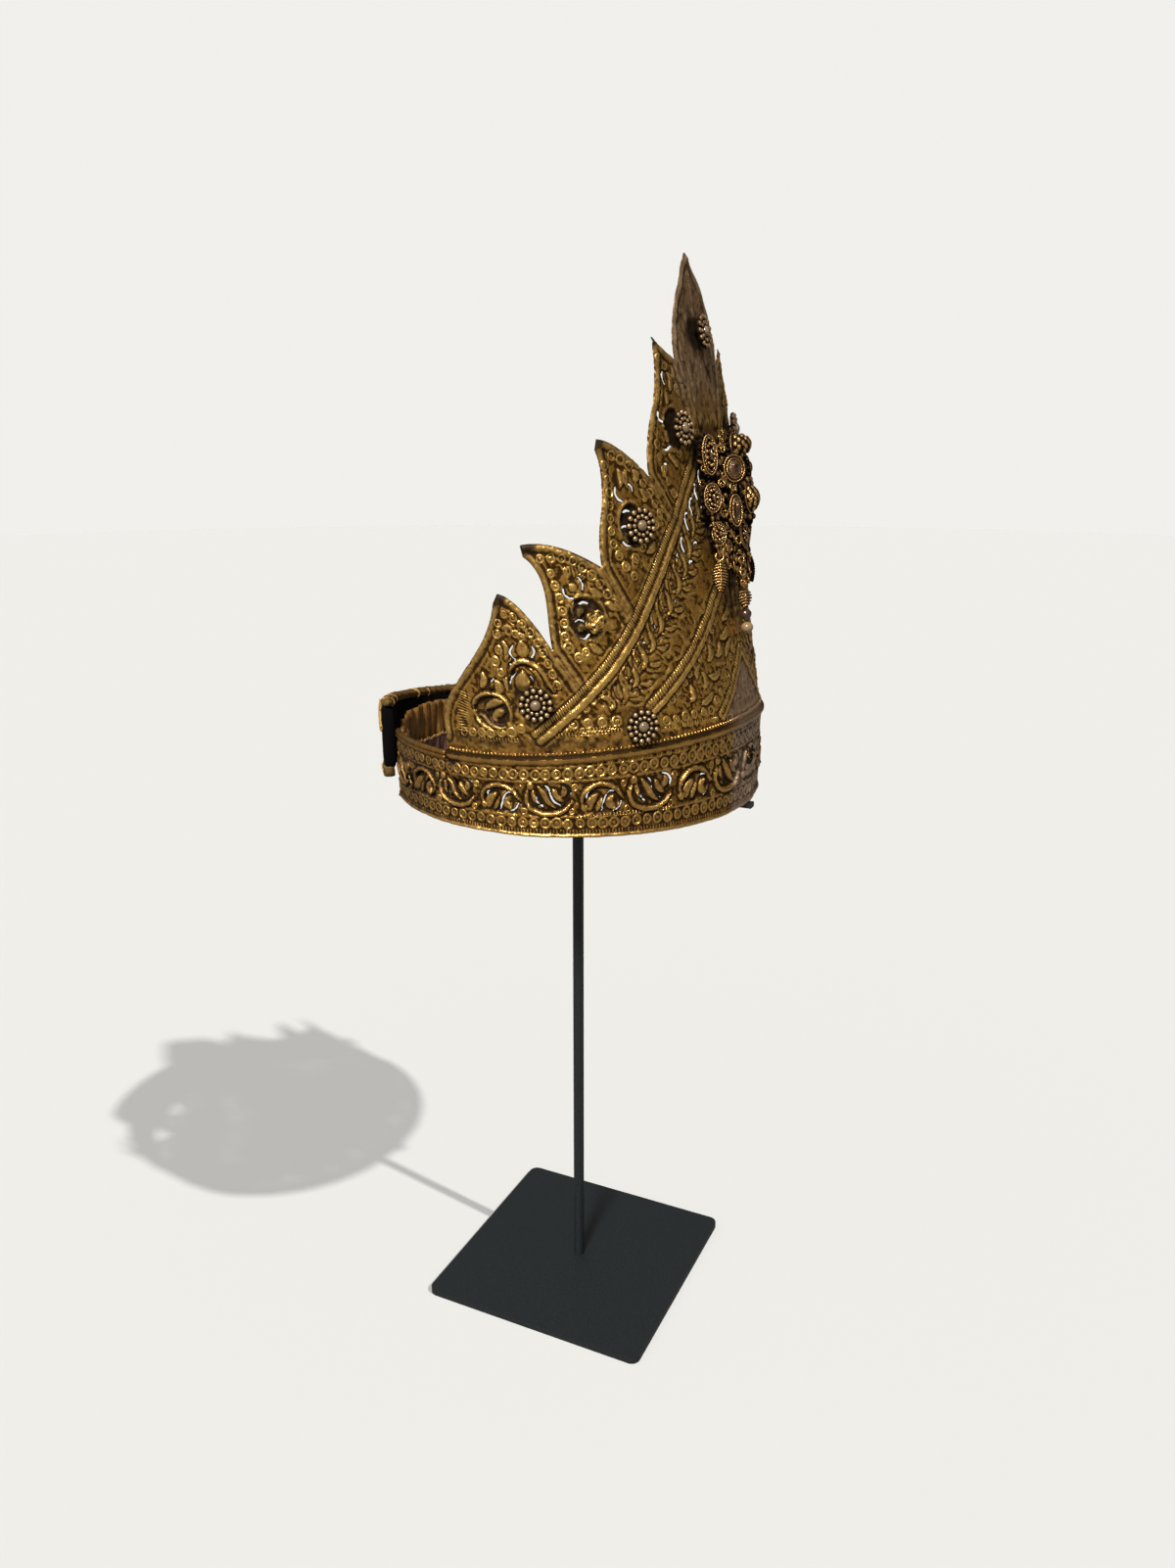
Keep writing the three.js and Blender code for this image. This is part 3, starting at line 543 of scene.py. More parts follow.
LEAF_SCALES = [
    ([(160, 45.4), (147.5, 46.6), (135.5, 47.6), (129.5, 49.6)], 5.6, 2.4),
    ([(137.5, 92), (135.5, 98), (131, 101), (126, 98.5), (121, 93.5), (116.6, 87), (113.4, 79),
      (110.6, 70)], 5.2, 2.2), ([(128, 92.5), (124.8, 91.5)], 4.6, 2),
    ([(137, 74.8), (139.4, 79.5), (137.2, 85)], 5.2, 2.3),
    ([(112, 124.6), (106.4, 125), (99, 124), (92.8, 121), (87.4, 116.4), (83, 110.6), (79.6, 104.6)], 5.1,
      2.3),
    ([(107.4, 118.4), (106, 112.6), (104.8, 107), (104, 101), (104.2, 96.2), (103.8, 91.6)], 5.3, 2.3),
    ([(103.2, 86.6), (99.4, 82.4)], 5.6, 2.7), ([(95.4, 84.8), (91.4, 88.6)], 5.4, 2.3),
    ([(75, 162), (74.4, 156), (74, 149), (75.4, 142), (75.8, 135), (74.8, 127.6), (71.6, 121), (67.4, 116)],
      5.4, 2.2), ([(70.6, 166), (66, 164.2), (61.4, 161), (57, 156.2), (53.4, 151), (50.6, 146)], 5.2, 2.2),
    ([(65.5, 123.4), (61, 128)], 5.6, 2.2), ([(48.4, 141.6), (51.5, 137)], 5.4, 2),
    ([(35.4, 206), (31.4, 203), (27.6, 199.4), (25, 194)], 4.8, 1.9),
    ([(37.4, 192), (38.6, 188)], 4.6, 1.9),
    ([(43.4, 176), (43.6, 169), (42.6, 162), (40, 155.6), (37.6, 149.8)], 5.2, 2),
    ([(33, 162.6), (29.6, 166.6)], 5, 2),
    ([(112, 52.4), (104.8, 52.6), (98, 52.6), (91.4, 52.8), (85.6, 53.4)], 6.2, 2.6),
    ([(103.4, 57.6), (97.4, 60.8), (92, 66.6)], 5.6, 2.3), ([(87.6, 70.4), (83, 76)], 5.4, 2.1),
    ([(61.4, 51.4), (52, 52), (43, 52.4), (34.4, 52.6)], 5.6, 2.2),
    ([(56.6, 61), (50.6, 66), (44.6, 70.8), (38.8, 76), (33.2, 81), (27.6, 86.4), (22, 92)], 5.4, 2),
    ([(29.4, 56.8), (24.2, 61.6), (19, 66.6), (13.8, 72.2), (9, 78)], 5.2, 1.9),
]

# Raised petals: points, width, height, veins.
LEAF_PETALS = [
    ([(126.4, 66.4), (126.6, 71), (126, 76.6)], 7.6, 1.1, 3),
    ([(125.4, 82), (125.2, 86), (125.6, 90)], 6.4, 0.8, 2),
    ([(139.6, 64.8), (138.8, 68.4), (140.4, 71.8)], 5, 0.9, 3),
    ([(134.4, 80.4), (132.8, 84.8), (134.6, 90)], 3.2, 0.8, 0),
    ([(148.6, 67.4), (146.4, 70.6), (147, 75)], 4, 0.7, 2),
    ([(134.2, 66.6), (134.8, 70.4), (134, 74)], 2.6, 0.8, 0),
    ([(136.6, 61.6), (140.4, 61.4), (144.6, 59.6), (146.4, 57)], 4, 1.2, 2),
    ([(136.6, 57.4), (139.6, 56.6), (142, 54.2), (140.4, 52.6)], 4.4, 1.1, 3),
    ([(151.2, 55.4), (147.6, 54.4), (144.2, 51.4), (140, 49.7), (136.4, 50.3)], 2.4, 1.3, 0),
    ([(116.6, 66.6), (119.6, 75), (124, 78.4)], 2.4, 0.5, 0),
    ([(98.4, 106.6), (99.6, 103.6), (99.4, 99.8)], 2, 0.7, 0),
    ([(98, 93.4), (96, 95.4), (93.8, 94.2)], 3.6, 1.2, 0),
    ([(93.6, 103.4), (96.6, 101.6), (96.8, 99.4)], 3.4, 0.9, 0),
    ([(90, 112), (87, 109.4), (83.8, 108.6)], 4.4, 0.8, 3),
    ([(84, 105.4), (80, 103.8), (76.4, 101.8)], 4.4, 0.9, 3),
    ([(93.6, 88.6), (90.6, 85.6), (87.4, 84)], 4, 0.8, 3),
    ([(68.6, 161), (67.4, 157.4), (68.6, 152.6)], 3.2, 1.1, 2),
    ([(64.4, 160.6), (65.4, 156.4), (64.4, 152.4)], 3, 0.8, 0),
    ([(60.8, 160), (59, 157.6), (60.4, 155.4)], 4, 1, 0),
    ([(67.4, 134.4), (68.8, 132), (67.6, 130)], 3, 1.1, 0),
    ([(57.6, 152.6), (55.4, 149), (57, 146.6)], 3.6, 0.8, 2),
    ([(59.4, 125.4), (56, 127), (53.4, 130.4)], 3.6, 0.8, 3),
    ([(30.6, 200.4), (28.6, 197), (30.6, 192)], 3.4, 1, 0),
    ([(26.8, 203.4), (26.2, 199.6), (27, 196)], 2.2, 0.9, 0),
    ([(34, 192.6), (32.6, 190), (34, 186.6)], 3, 0.9, 0),
    ([(23, 196), (20.4, 192.6), (22, 188)], 3.4, 0.8, 2),
    ([(38, 176.4), (36.4, 173.4), (37.6, 170.8)], 3.4, 1, 0),
    ([(38, 166.4), (34.6, 163.8), (33, 160)], 3.4, 0.9, 2),
    ([(88.4, 58.4), (86.4, 60.6), (88.4, 63.8), (92.6, 64.6)], 3.2, 1.2, 0),
    ([(101.6, 62), (98, 65.4), (93.6, 70.6)], 3, 0.7, 0),
    ([(47.4, 58.4), (44.6, 61), (45.6, 66.4)], 3.8, 1, 2),
    ([(40.6, 56.4), (35.6, 57.6), (31, 61.4)], 3.8, 1, 2),
    ([(37.8, 62.6), (35.4, 66.4), (37.6, 71.4)], 3.4, 0.9, 0),
    ([(33.4, 68.6), (28.4, 67.4), (23.6, 70)], 4, 1, 2),
    ([(32, 74.6), (28.8, 78), (30.4, 83)], 3.8, 0.9, 0),
    ([(25.4, 76), (21.4, 78.4), (21.4, 83)], 3.8, 1, 2), ([(20, 84), (15.4, 84.6), (11, 88.6)], 4, 0.9, 2),
    ([(15.4, 91.6), (10.4, 94), (8, 99.4)], 3.8, 0.9, 0),
    ([(41, 67.6), (40.4, 71.6), (37.8, 74.6)], 2.8, 0.8, 0),
    ([(17, 74.4), (13.6, 79.4), (8.6, 83)], 3, 0.8, 0),
]
CURLS = [  # small raised scrolls: middle, radius, where it starts in degrees
    ((131.4, 93.6), 2.6, 20), ((124.6, 96.4), 2.4, 200), ((104.2, 57.4), 2.6, 100), ((46.6, 60.4), 2.4, 40),
    ((25.6, 89.4), 2.3, 220), ((66.6, 121.6), 2.4, 60),
]
LEAF_DISHES = [  # sunk grounds: middle, radii, depth, height of the lip, turn in degrees
    ((93.2, 99.4), (8.6, 9), 0.9, 0.6, 0), ((64.6, 137.4), (6.4, 9), 1.0, 0.7, 0),
    ((31, 177), (6.4, 8.6), 1.0, 0.5, 0), ((143.2, 57), (9.4, 7.6), 0.7, 0.2, 8),
]
LEAF_ROLLS = [  # and of the lines below: points, width, height
    ([(153.4, 58.5), (151.4, 62), (147.6, 64.5), (143, 65.3), (138.4, 64.2), (135, 61.4), (133.6, 57.4),
      (134.2, 53.6)], 2.1, 1.5),
    ([(132.4, 76), (129.6, 79.6), (125, 80.8), (120.2, 79), (116.6, 75.4), (114.6, 70.8), (112.4, 67.6)],
      2.5, 1.6),
]
FOOT_BEADS = [
    ([(151, 43.9), (140, 44.1), (131, 44.6)], 1.3, 0.8), ([(114, 47.6), (100, 48.2), (84, 49.4)], 1.3, 0.7),
    ([(113, 49.6), (100, 50), (85, 51)], 1.2, 0.6), ([(62, 48.6), (50, 49), (31, 49.6)], 1.2, 0.5),
]
FRONT_FOLDS = [  # one along the foot, then the long folds of the plain front
    ([(82, 45.8), (60, 47.6), (30, 48.4), (0, 48.6)], 1.4, 0.4), ([(0, 206), (5, 194), (9, 180)], 3, 0.6),
    ([(3, 206), (8.5, 197), (13, 187), (16.4, 179)], 2.6, 0.5),
    ([(14, 206), (10.6, 196), (9.8, 186)], 3, 0.4), ([(0, 250), (0.6, 236), (0, 208)], 2.4, 0.7),
    ([(16, 224), (13, 208), (12, 190)], 2, 0.45), ([(10, 236), (8, 222), (7, 206)], 1.8, 0.4),
    ([(0, 120), (0, 80)], 3, 0.5), ([(5, 76), (6, 64), (5, 50)], 1.6, 0.3),
    ([(2, 70), (2.6, 60), (2, 50)], 1.4, 0.25),
]
FRONT_STREAKS = [  # corners of where they lie, count, points of one, width, depth
    ((0, 184), (20, 246), 50, ((0, 0), (-0.4, -6), (1.2, -12)), 1.8, 0.09),
    ((0, 46), (14, 76), 40, ((0, 0), (0.3, -4), (1.2, -8)), 1.0, 0.1),
]
SPIKE_PITS = [  # dark hollows: middle, radii, how dark
    ((15, 225), (1.0, 3.4), 0.8), ((13.4, 212), (0.9, 3.6), 0.75), ((8.6, 201), (1.6, 3.0), 0.5),
    ((3.4, 197), (0.8, 4.4), 0.6), ((6.4, 191), (0.7, 4.6), 0.5),
]
PLATE_STAINS = [  # painted shadows behind the rosettes and the spray, dark tips and reddish seams
    ((93, 99.8), (8.4, 8.6), 0.8), ((66, 137.4), (5.6, 9), 1), ((31.6, 177), (6, 8), 1),
    ((0, 218.6), (11.5, 8.6), 1), ((122, 61), (9, 8.6), 0.85), ((74, 50), (8.4, 8), 0.9),
    ((127.6, 66), (5, 5), 0.8), ((143, 58), (9, 7.4), 0.6), ((137.4, 111), (9, 8.5), 0.97),
    ((122, 131.4), (11, 6.5), 0.97), ((80, 174), (8, 8), 0.95), ((38, 217), (6, 8), 0.95),
    ((0, 147), (22, 32), 1), ((14, 161), (9, 15), 1), ((11, 136), (9, 14), 0.9), ((3, 104), (7, 10), 0.5),
    ((66, 116), (7, 4), 0.4), ((54, 132), (7, 4), 0.4), ((58, 136.8), (7, 7), 0.6),
    ((24, 177), (6, 7), 0.7),
]


def leaf_border(i):
    """The edge of a leaf from its foot's root over its tip to its back root; the leaf lies on its left."""
    leaf = LEAVES[i]
    lines = [smooth([LEAVES[i - 1]["root"], leaf["outer"][0]])[:-1]] if i else []
    lines += [bezier(leaf["outer"], 40)[:-1], bezier(leaf["back"], 30)[:-1]]
    return np.vstack([*lines, smooth([leaf["back"][-1], leaf["root"]])])


def plate_outline():
    """The near half's outline, closed through the middle and the foot."""
    edge = [bezier(leaf[part], 40)[:-1] for leaf in LEAVES for part in ("outer", "back")]
    arcs = np.linspace(-1.0, PLATE_END_ARC, 60)
    foot = np.stack([arcs, roll_height(arcs) + 0.6 * ROLL_RADIUS], -1)
    top = bezier(SPIKE, 50)
    return np.vstack([foot, *edge, top, [(-1.0, SPIKE[-1][1])]])


def carve_border(relief, line):
    """One broad soft roll inside a leaf's edge and a fine line beyond it; the roll is the browner part."""
    window, apart, _, _, _, side = relief.near(line, 7.5)
    band = 0.95 * bell(apart - 1.7, 1.45) - 0.25 * bell(apart - 3.9, 0.5) + 0.3 * bell(apart - 5.0, 0.6)
    relief.height[window] += np.where(side > 0, band, 0)
    relief.covered(window, (side > 0) & (apart < 5.4), np.where(side > 0, np.abs(apart - 3.8) + 0.25, 9))
    relief.stained(window, 0.46 * unit((4.4 - apart) / 1.6) * (side > 0))


def carve_strip(relief):
    """The vine between the two outer ribs: at each upright slit two petals, and a lying slit further in."""
    for i, (x, y) in enumerate(STRIP):
        def at(*offsets, x=x, y=y):
            return [(x + dx, y + dy) for dx, dy in offsets]
        relief.petal(at((-1.6, -7), (-4.4, -3.2), (-3.4, 2), (-1.8, 4.8)), 2.6, 0.8)
        relief.petal(at((2.6, -6), (3.4, -1.6), (2.2, 3)), 1.7, 0.7)
        relief.petal(at((-5.6, -4.4), (-9.4, -5.2), (-13, -3.4)), 2.4, 0.6, veins=2)
        relief.petal(at((-6.2, 2.4), (-8.4, 3.4), (-11, 2.2)), 1.8, 0.55)
        relief.line(at((-4.6, -6.6), (-8, -8), (-12, -7)), 0.8, 0.45)
        relief.line(at((-7, -0.6), (-9.4, 0.7), (-11.4, -0.8), (-14.4, -0.6)), 0.9, -0.7)
        relief.slit(at((-1.3, 4.2), (0.5, 1.6), (0.4, -1.4), (-0.9, -4.4)), 1.0, lip=-1, lift=0.2)
        if i not in UNPIERCED and x > STRIP_NARROWS:
            relief.slit(at((-7.4, -1.6), (-9, 0), (-11.2, -0.8)), 0.95, lip=-1, lift=0.2)


def carve_ribs(relief):
    """The outer rib with its hatched inner roll, and the two nested ropes with a wavy line beside them."""
    rib = smooth(RIB_1)
    relief.roll(beside(rib, 1.6), 4.4, 1.1, ditch=0.5)
    relief.roll(beside(rib, -2.0), 3.4, 0.9, ditch=0.45)
    relief.hatch(beside(rib, -2.0), 3.6, 1.3, 0.2, slant=0.3)
    relief.line(beside(rib, -4.6), 0.8, 0.5)
    relief.line(beside(rib, 4.8), 0.9, 0.35)
    for way, width in ((RIB_2, 3.4), (RIB_3, 2.6)):
        rope = smooth(way)
        relief.roll(beside(rope, 0.4 * width), width, 0.95, ditch=0.35)
        relief.roll(beside(rope, -0.55 * width), width, 0.8, ditch=0.45)
        relief.hatch(beside(rope, -0.55 * width), width + 0.4, 1.6, 0.3, slant=0.4)
        wave = 0.7 * np.sin(np.arange(len(rope)) / 4.1)
        relief.line(beside(rope, (-1.3 * width - 1.6 + wave)[:, None]), 0.9, 0.5)


def carve_plate():
    relief = Relief((0.0, 176.0), (34.0, 254.0), 0.36, seed=7)
    relief.height += relief.noise(16, 1) * 0.25 + relief.noise(7, 2) * 0.12
    for low, high, count in (((30, 46), (170, 112), 620), ((20, 112), (110, 150), 300),
                             ((8, 150), (60, 215), 260), ((0, 46), (60, 100), 300)):
        relief.tooled(low, high, count, 3.4, 0.26)
    for i in range(len(LEAVES)):
        carve_border(relief, leaf_border(i))
    carve_border(relief, np.vstack([smooth([LEAVES[-1]["root"], SPIKE[0]]), bezier(SPIKE, 50)]))
    for leaf in LEAVES:
        relief.line([leaf["back"][-1], leaf["root"]], 0.8, 0.6)
    for points, pitch, radius in LEAF_SCALES:
        relief.scales(points, pitch, radius)
    for centre, radii, depth, lip, turn in LEAF_DISHES:
        relief.dish(centre, radii, depth, lip, turn)
    for points, width, height in LEAF_ROLLS:
        relief.roll(points, width, height, ditch=0.6, taper=3)
    relief.fan((98, 112), (3.6, 10.5), (62, 150), 0.9, 9)
    relief.dome((98, 112.4), (2.1, 2.1), 0.7)
    for points, width, height, veins in LEAF_PETALS:
        relief.petal(points, width, height, veins)
    for centre, radius, start in CURLS:
        turn = np.radians(start + np.linspace(0, 400, 18))
        size = radius * np.linspace(1, 0.3, 18)
        curl = np.stack([centre[0] + size * np.cos(turn), centre[1] + size * np.sin(turn)], -1)
        relief.line(smooth(curl), 0.8, 0.7)
    relief.hatch([(160, 45.5), (160, 55), (157.4, 65)], 7, 1.3, 0.18)
    carve_strip(relief)
    for points, lip in LEAF_SLITS:
        relief.slit(points, 0.85, lip, lift=0.3)
    carve_ribs(relief)
    for points, width, height in FOOT_BEADS:
        relief.beads(points, 1.5, width, height)
    for points, width, height in FRONT_FOLDS:
        relief.line(points, width, height)
    for low, high, count, way, width, depth in FRONT_STREAKS:
        for x, y in relief.chance.uniform(low, high, (count, 2)):
            streak = np.array([(x + dx, y + dy) for dx, dy in way])
            relief.line(streak, width, relief.chance.choice((-depth, depth)))
    for centre, radii, amount in SPIKE_PITS:
        relief.darken(centre, radii, amount, 0.8, turn=8)
    for centre, radii, amount in PLATE_STAINS:
        relief.darken(centre, radii, amount, 0.6)
    relief.stained(..., 0.6 * unit((47.5 - relief.y) / 3))
    relief.height += relief.noise(2.8, 5) * 0.13 + relief.noise(1.3, 6) * 0.075
    relief.cut_outline(plate_outline())
    return relief


# ---- The headband ----

UP_ROUNDEL = dict(
    stem=[(9.6, 5), (10.6, 0.6), (8.6, -3.6), (3.6, -5.9), (-2.6, -6), (-7, -4.4), (-10.2, -1)],
    slits=[
        ([(2.6, 6.7), (0.3, 5), (-0.8, 1.4), (-2.6, -1.2), (-5.6, -2.6)], 1),
        ([(-5.2, 7.2), (-8, 6.3), (-9.7, 4), (-9.3, 1.8)], -1), ([(5.8, 1.8), (5, -1.2), (2.6, -3.2)], 1),
    ],
    petals=[
        ([(5.4, 6.6), (2.6, 3), (0.2, -0.8), (-3.8, -3.8)], 3, 1.3, 0),
        ([(-5.6, 1.4), (-7, 4), (-6.2, 6.4)], 3.2, 1.2, 0),
        ([(7.4, 4.8), (6.8, 1), (3.6, -2.2)], 2.6, 0.9, 2),
        ([(-1.6, 5.2), (-3.6, 1.6), (-6.8, -0.8)], 3.2, 1, 2),
    ],
    ball=(8.6, 6.2),
)
DOWN_ROUNDEL = dict(
    stem=[(8.2, -3), (8.7, 0.6), (6.7, 4), (2, 6), (-3.6, 5.4), (-7.2, 2.9), (-9.9, -0.4)],
    slits=[
        ([(7.1, -0.2), (5.8, 2.9), (3, 3.9)], -1),
        ([(0, -5.7), (-0.9, -2.5), (-2, 0.6), (-4.3, 2.8), (-6.8, 2.2)], -1),
        ([(-9.4, -1.4), (-8, -4.2), (-5, -5.8)], 1),
    ],
    petals=[
        ([(5.4, -5), (4.8, -1), (1.4, 2.4)], 4.6, 1.2, 2),
        ([(-6.4, -4.8), (-3.6, -1.6), (-5.6, 1.4)], 4.2, 1.2, 3),
        ([(2.4, -5.6), (1, -2.6), (-0.4, 0.8)], 2.6, 1.2, 0),
    ],
    ball=(7.7, -3.6),
)
ROUNDELS = 10
ROUNDEL_PITCH = 23.6
ROUNDEL_RISE = 16.4


def carve_roundel(relief, arc, kind):
    def at(points):
        return [(arc + x, ROUNDEL_RISE + y) for x, y in points]
    relief.dish((arc, ROUNDEL_RISE), (9.4, 6.4), 0.35, lip=0.1)
    relief.roll(at(kind["stem"]), 2.2, 1.35, ditch=0.5, taper=4)
    relief.line(beside(smooth(at(kind["stem"])), 0.2), 0.35, -0.3)
    for points, width, height, veins in kind["petals"]:
        relief.petal(at(points), width, height, veins)
    relief.dome(at([kind["ball"]])[0], (1.8, 1.8), 1.1)
    for points, lip in kind["slits"]:
        relief.slit(at(points), 0.7, lip)
        # painted shade round each slit
        relief.darken(np.mean(at(points), 0), (3.4, 2), 0.5, 0.9)


def carve_band():
    relief = Relief((0.0, BAND_END_ARC), (0.0, 36.0), 0.3, seed=11)
    relief.height += relief.noise(14, 3) * 0.22 + relief.noise(5, 4) * 0.1

    def level(rise):
        return [(-1, rise), (BAND_END_ARC, rise)]
    for rise, width, height in ((0.7, 1.6, 1.0), (9.0, 0.9, 0.45), (24.6, 0.9, 0.5), (30.6, 0.9, 0.35)):
        relief.line(level(rise), width, height)
    relief.beads(level(2.6), 1.5, 1.3, 0.75)
    relief.beads([(105, 8.4), (92, 9.6), (60, 9.4)], 1.5, 1.2, 0.7)
    for points, pitch, radius, height in ((level(5.9), 5.25, 2.5, 0.75), (level(27.6), 5.05, 2.5, 0.7),
                                          ([(6, 31.6), (95, 31.4)], 4.6, 1.5, 0.4)):
        relief.scales(points, pitch, radius, height)
    relief.line([(BAND_END_ARC - 2.2, 1), (BAND_END_ARC - 2.2, 33)], 1.0, 0.5)
    relief.scales([(BAND_END_ARC - 5, 8), (BAND_END_ARC - 5, 25)], 4.4, 1.8, 0.5)
    for i in range(ROUNDELS):
        carve_roundel(relief, i * ROUNDEL_PITCH, UP_ROUNDEL if i % 2 else DOWN_ROUNDEL)
        if i:
            between = (i - 0.5) * ROUNDEL_PITCH
            relief.scale((between, 21.8 if i % 2 else 11), 1.7, 0.6)
            relief.scale((between + 1.5, 11 if i % 2 else 21.8), 1.5, 0.5)
    relief.darken((PLATE_END_ARC - 3, 32), (5, 4), 0.9, 0.8)
    relief.darken((BAND_END_ARC, 17), (52, 70), 0.62, 0.9)
    relief.tooled((0, 9), (BAND_END_ARC, 24), 700, 2.6, 0.22)
    relief.height += relief.noise(2.4, 8) * 0.11 + relief.noise(1.2, 9) * 0.06
    outline = np.array([(-1, 0.0), (BAND_END_ARC - 0.6, 0.0), (BAND_END_ARC - 0.2, 10),
                        (BAND_END_ARC - 0.4, 34.6), (-1, 34.6)])
    sides = zip(outline, np.roll(outline, -1, 0))
    relief.cut_outline(np.vstack([np.linspace(a, b, 60)[:-1] for a, b in sides]))
    return relief


def band_stretch(arc):
    return roll_height(arc) / BAND_HEIGHT


# ---- Small makers ----

def to_mesh(name, bm):
    """Turns a finished bmesh into a mesh."""
    mesh = bpy.data.meshes.new(name)
    bm.to_mesh(mesh)
    bm.free()
    return mesh


def put(name, data):
    """An object of the scene that holds some data."""
    made = bpy.data.objects.new(name, data)
    bpy.context.scene.collection.objects.link(made)
    return made


def joined(bm, part, place=Matrix(), material=None):
    """Moves a small body to its place and adds it to a piece."""
    part.transform(place)
    if material is not None:
        for face in part.faces:
            face.material_index = material
    carrier = to_mesh("carrier", part)
    bm.from_mesh(carrier)
    bpy.data.meshes.remove(carrier)
    return bm


def closed_up(bm, within):
    """Joins points that fall together and turns the faces outwards."""
    bmesh.ops.remove_doubles(bm, verts=bm.verts, dist=within)
    bmesh.ops.recalc_face_normals(bm, faces=bm.faces)
    return bm


def grid(ends, segments, around, full):
    """A flat grid, with its points' places along it, between two ends, and across it, from 0 to full."""
    bm = bmesh.new()
    bmesh.ops.create_grid(bm, x_segments=segments, y_segments=around, size=1.0)
    along = np.linspace(*ends, segments + 1)[None, :] + np.zeros((around + 1, 1))
    return bm, along, np.linspace(0, full, around + 1)[:, None] + np.zeros((1, segments + 1))


def closing(along, ends, reach):
    """How far a tube is open: 1 but for a reach at both ends, where it rounds off to nothing."""
    return rounded(1 - unit(np.minimum(along - ends[0], ends[1] - along) / reach))


def turned(profile, steps):
    """A body turned round the z axis from a profile of (radius, height)."""
    bm = bmesh.new()
    verts = [bm.verts.new((r, 0, z)) for r, z in profile]
    edges = [bm.edges.new(pair) for pair in zip(verts, verts[1:])]
    bmesh.ops.spin(bm, geom=verts + edges, cent=(0, 0, 0), axis=(0, 0, 1), angle=2 * math.pi, steps=steps,
                   use_merge=True)
    return closed_up(bm, 1e-4)


def ball(radius, detail, flatten=(1, 1, 1)):
    bm = bmesh.new()
    bmesh.ops.create_icosphere(bm, subdivisions=detail, radius=radius)
    bmesh.ops.scale(bm, vec=flatten, verts=bm.verts)
    return bm


def wire(points, radius, sides, closed=False):
    """A round wire along points."""
    curve = bpy.data.curves.new("wire", "CURVE")
    curve.dimensions = "3D"
    curve.bevel_depth = radius
    curve.bevel_resolution = sides
    curve.use_fill_caps = True
    spline = curve.splines.new("POLY")
    spline.points.add(len(points) - 1)
    for point, (x, y, z) in zip(spline.points, points):
        point.co = (x, y, z, 1)
    spline.use_cyclic_u = closed
    holder = bpy.data.objects.new("wire", curve)
    mesh = bpy.data.meshes.new_from_object(holder)
    bm = bmesh.new()
    bm.from_mesh(mesh)
    bpy.data.objects.remove(holder)
    bpy.data.curves.remove(curve)
    bpy.data.meshes.remove(mesh)
    bmesh.ops.recalc_face_normals(bm, faces=bm.faces)
    return bm


def moved(x=0.0, y=0.0, z=0.0, turn=0.0):
    return Matrix.Translation((x, y, z)) @ Matrix.Rotation(turn, 4, "Z")


def piece(name, bm, materials, stands_for, thick=0.0):
    """Makes a finished piece of a bmesh in metres, riding on the crown."""
    mesh = to_mesh(name, bm)
    for face in mesh.polygons:
        face.use_smooth = True
    for material in materials:
        mesh.materials.append(material)
    made = put(name, mesh)
    if thick:
        shell = made.modifiers.new("Thickness", "SOLIDIFY")
        shell.thickness = thick * MM
        shell.offset = -1
        shell.use_even_offset = False
    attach(made, "root")
    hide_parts(*stands_for)
    return made


def marked(bm, low, high, stain=0.0):
    """Marks a small body by height in its own frame: darker towards its foot, as painted shade (hollow, and
    stain where given), and rubbed bright on its top.
    """
    share = unit((np.array([vert.co.z for vert in bm.verts]) - low) / (high - low))
    places = np.array([vert.co[:] for vert in bm.verts])
    settle(bm, places, ("hollow", "worn", "stain"), np.stack([1 - share, share**2, stain * (1 - share)], -1))
    return bm


# ---- Finishes ----

def feed(tree, made, inputs):
    """Gives a node's inputs their values, or the sockets that feed them."""
    for key, value in inputs.items():
        if isinstance(value, bpy.types.NodeSocket):
            tree.links.new(value, made.inputs[key])
        else:
            made.inputs[key].default_value = value


def node(tree, kind, inputs, **settings):
    """Adds a node with its settings and inputs."""
    made = tree.nodes.new(kind)
    for name, value in settings.items():
        setattr(made, name, value)
    feed(tree, made, inputs)
    return made


def maths(tree, operation, a, b=0.0, clamp=False):
    return node(tree, "ShaderNodeMath", {0: a, 1: b}, operation=operation, use_clamp=clamp).outputs[0]


def mixed(tree, share, a, b, how="MIX"):
    return node(tree, "ShaderNodeMix", {0: share, 6: a, 7: b}, data_type="RGBA", blend_type=how).outputs[2]


def scaled(tree, vector, amount):
    return node(tree, "ShaderNodeVectorMath", {0: vector, 3: amount}, operation="SCALE").outputs[0]


def ranged(tree, value, low, high, to_low=0.0, to_high=1.0, how="LINEAR"):
    settings = {"Value": value, "From Min": low, "From Max": high, "To Min": to_low, "To Max": to_high}
    return node(tree, "ShaderNodeMapRange", settings, interpolation_type=how).outputs[0]


def noise(tree, scale, detail, roughness):
    place = node(tree, "ShaderNodeTexCoord", {}).outputs["Object"]
    settings = {"Vector": place, "Scale": scale, "Detail": detail, "Roughness": roughness}
    return node(tree, "ShaderNodeTexNoise", settings).outputs["Fac"]


def colour(r, g, b):
    return (r, g, b, 1.0)


def new_group(name, colours, values, outputs):
    """A node group with colour and number inputs, and with number outputs besides any named Color."""
    tree = bpy.data.node_groups.new(name, "ShaderNodeTree")
    for way, labels in (("INPUT", colours + values), ("OUTPUT", outputs)):
        for label in labels:
            kind = "NodeSocketColor" if label in (*colours, "Color") else "NodeSocketFloat"
            tree.interface.new_socket(name=label, in_out=way, socket_type=kind)
    return tree, tree.nodes.new("NodeGroupInput").outputs, tree.nodes.new("NodeGroupOutput")


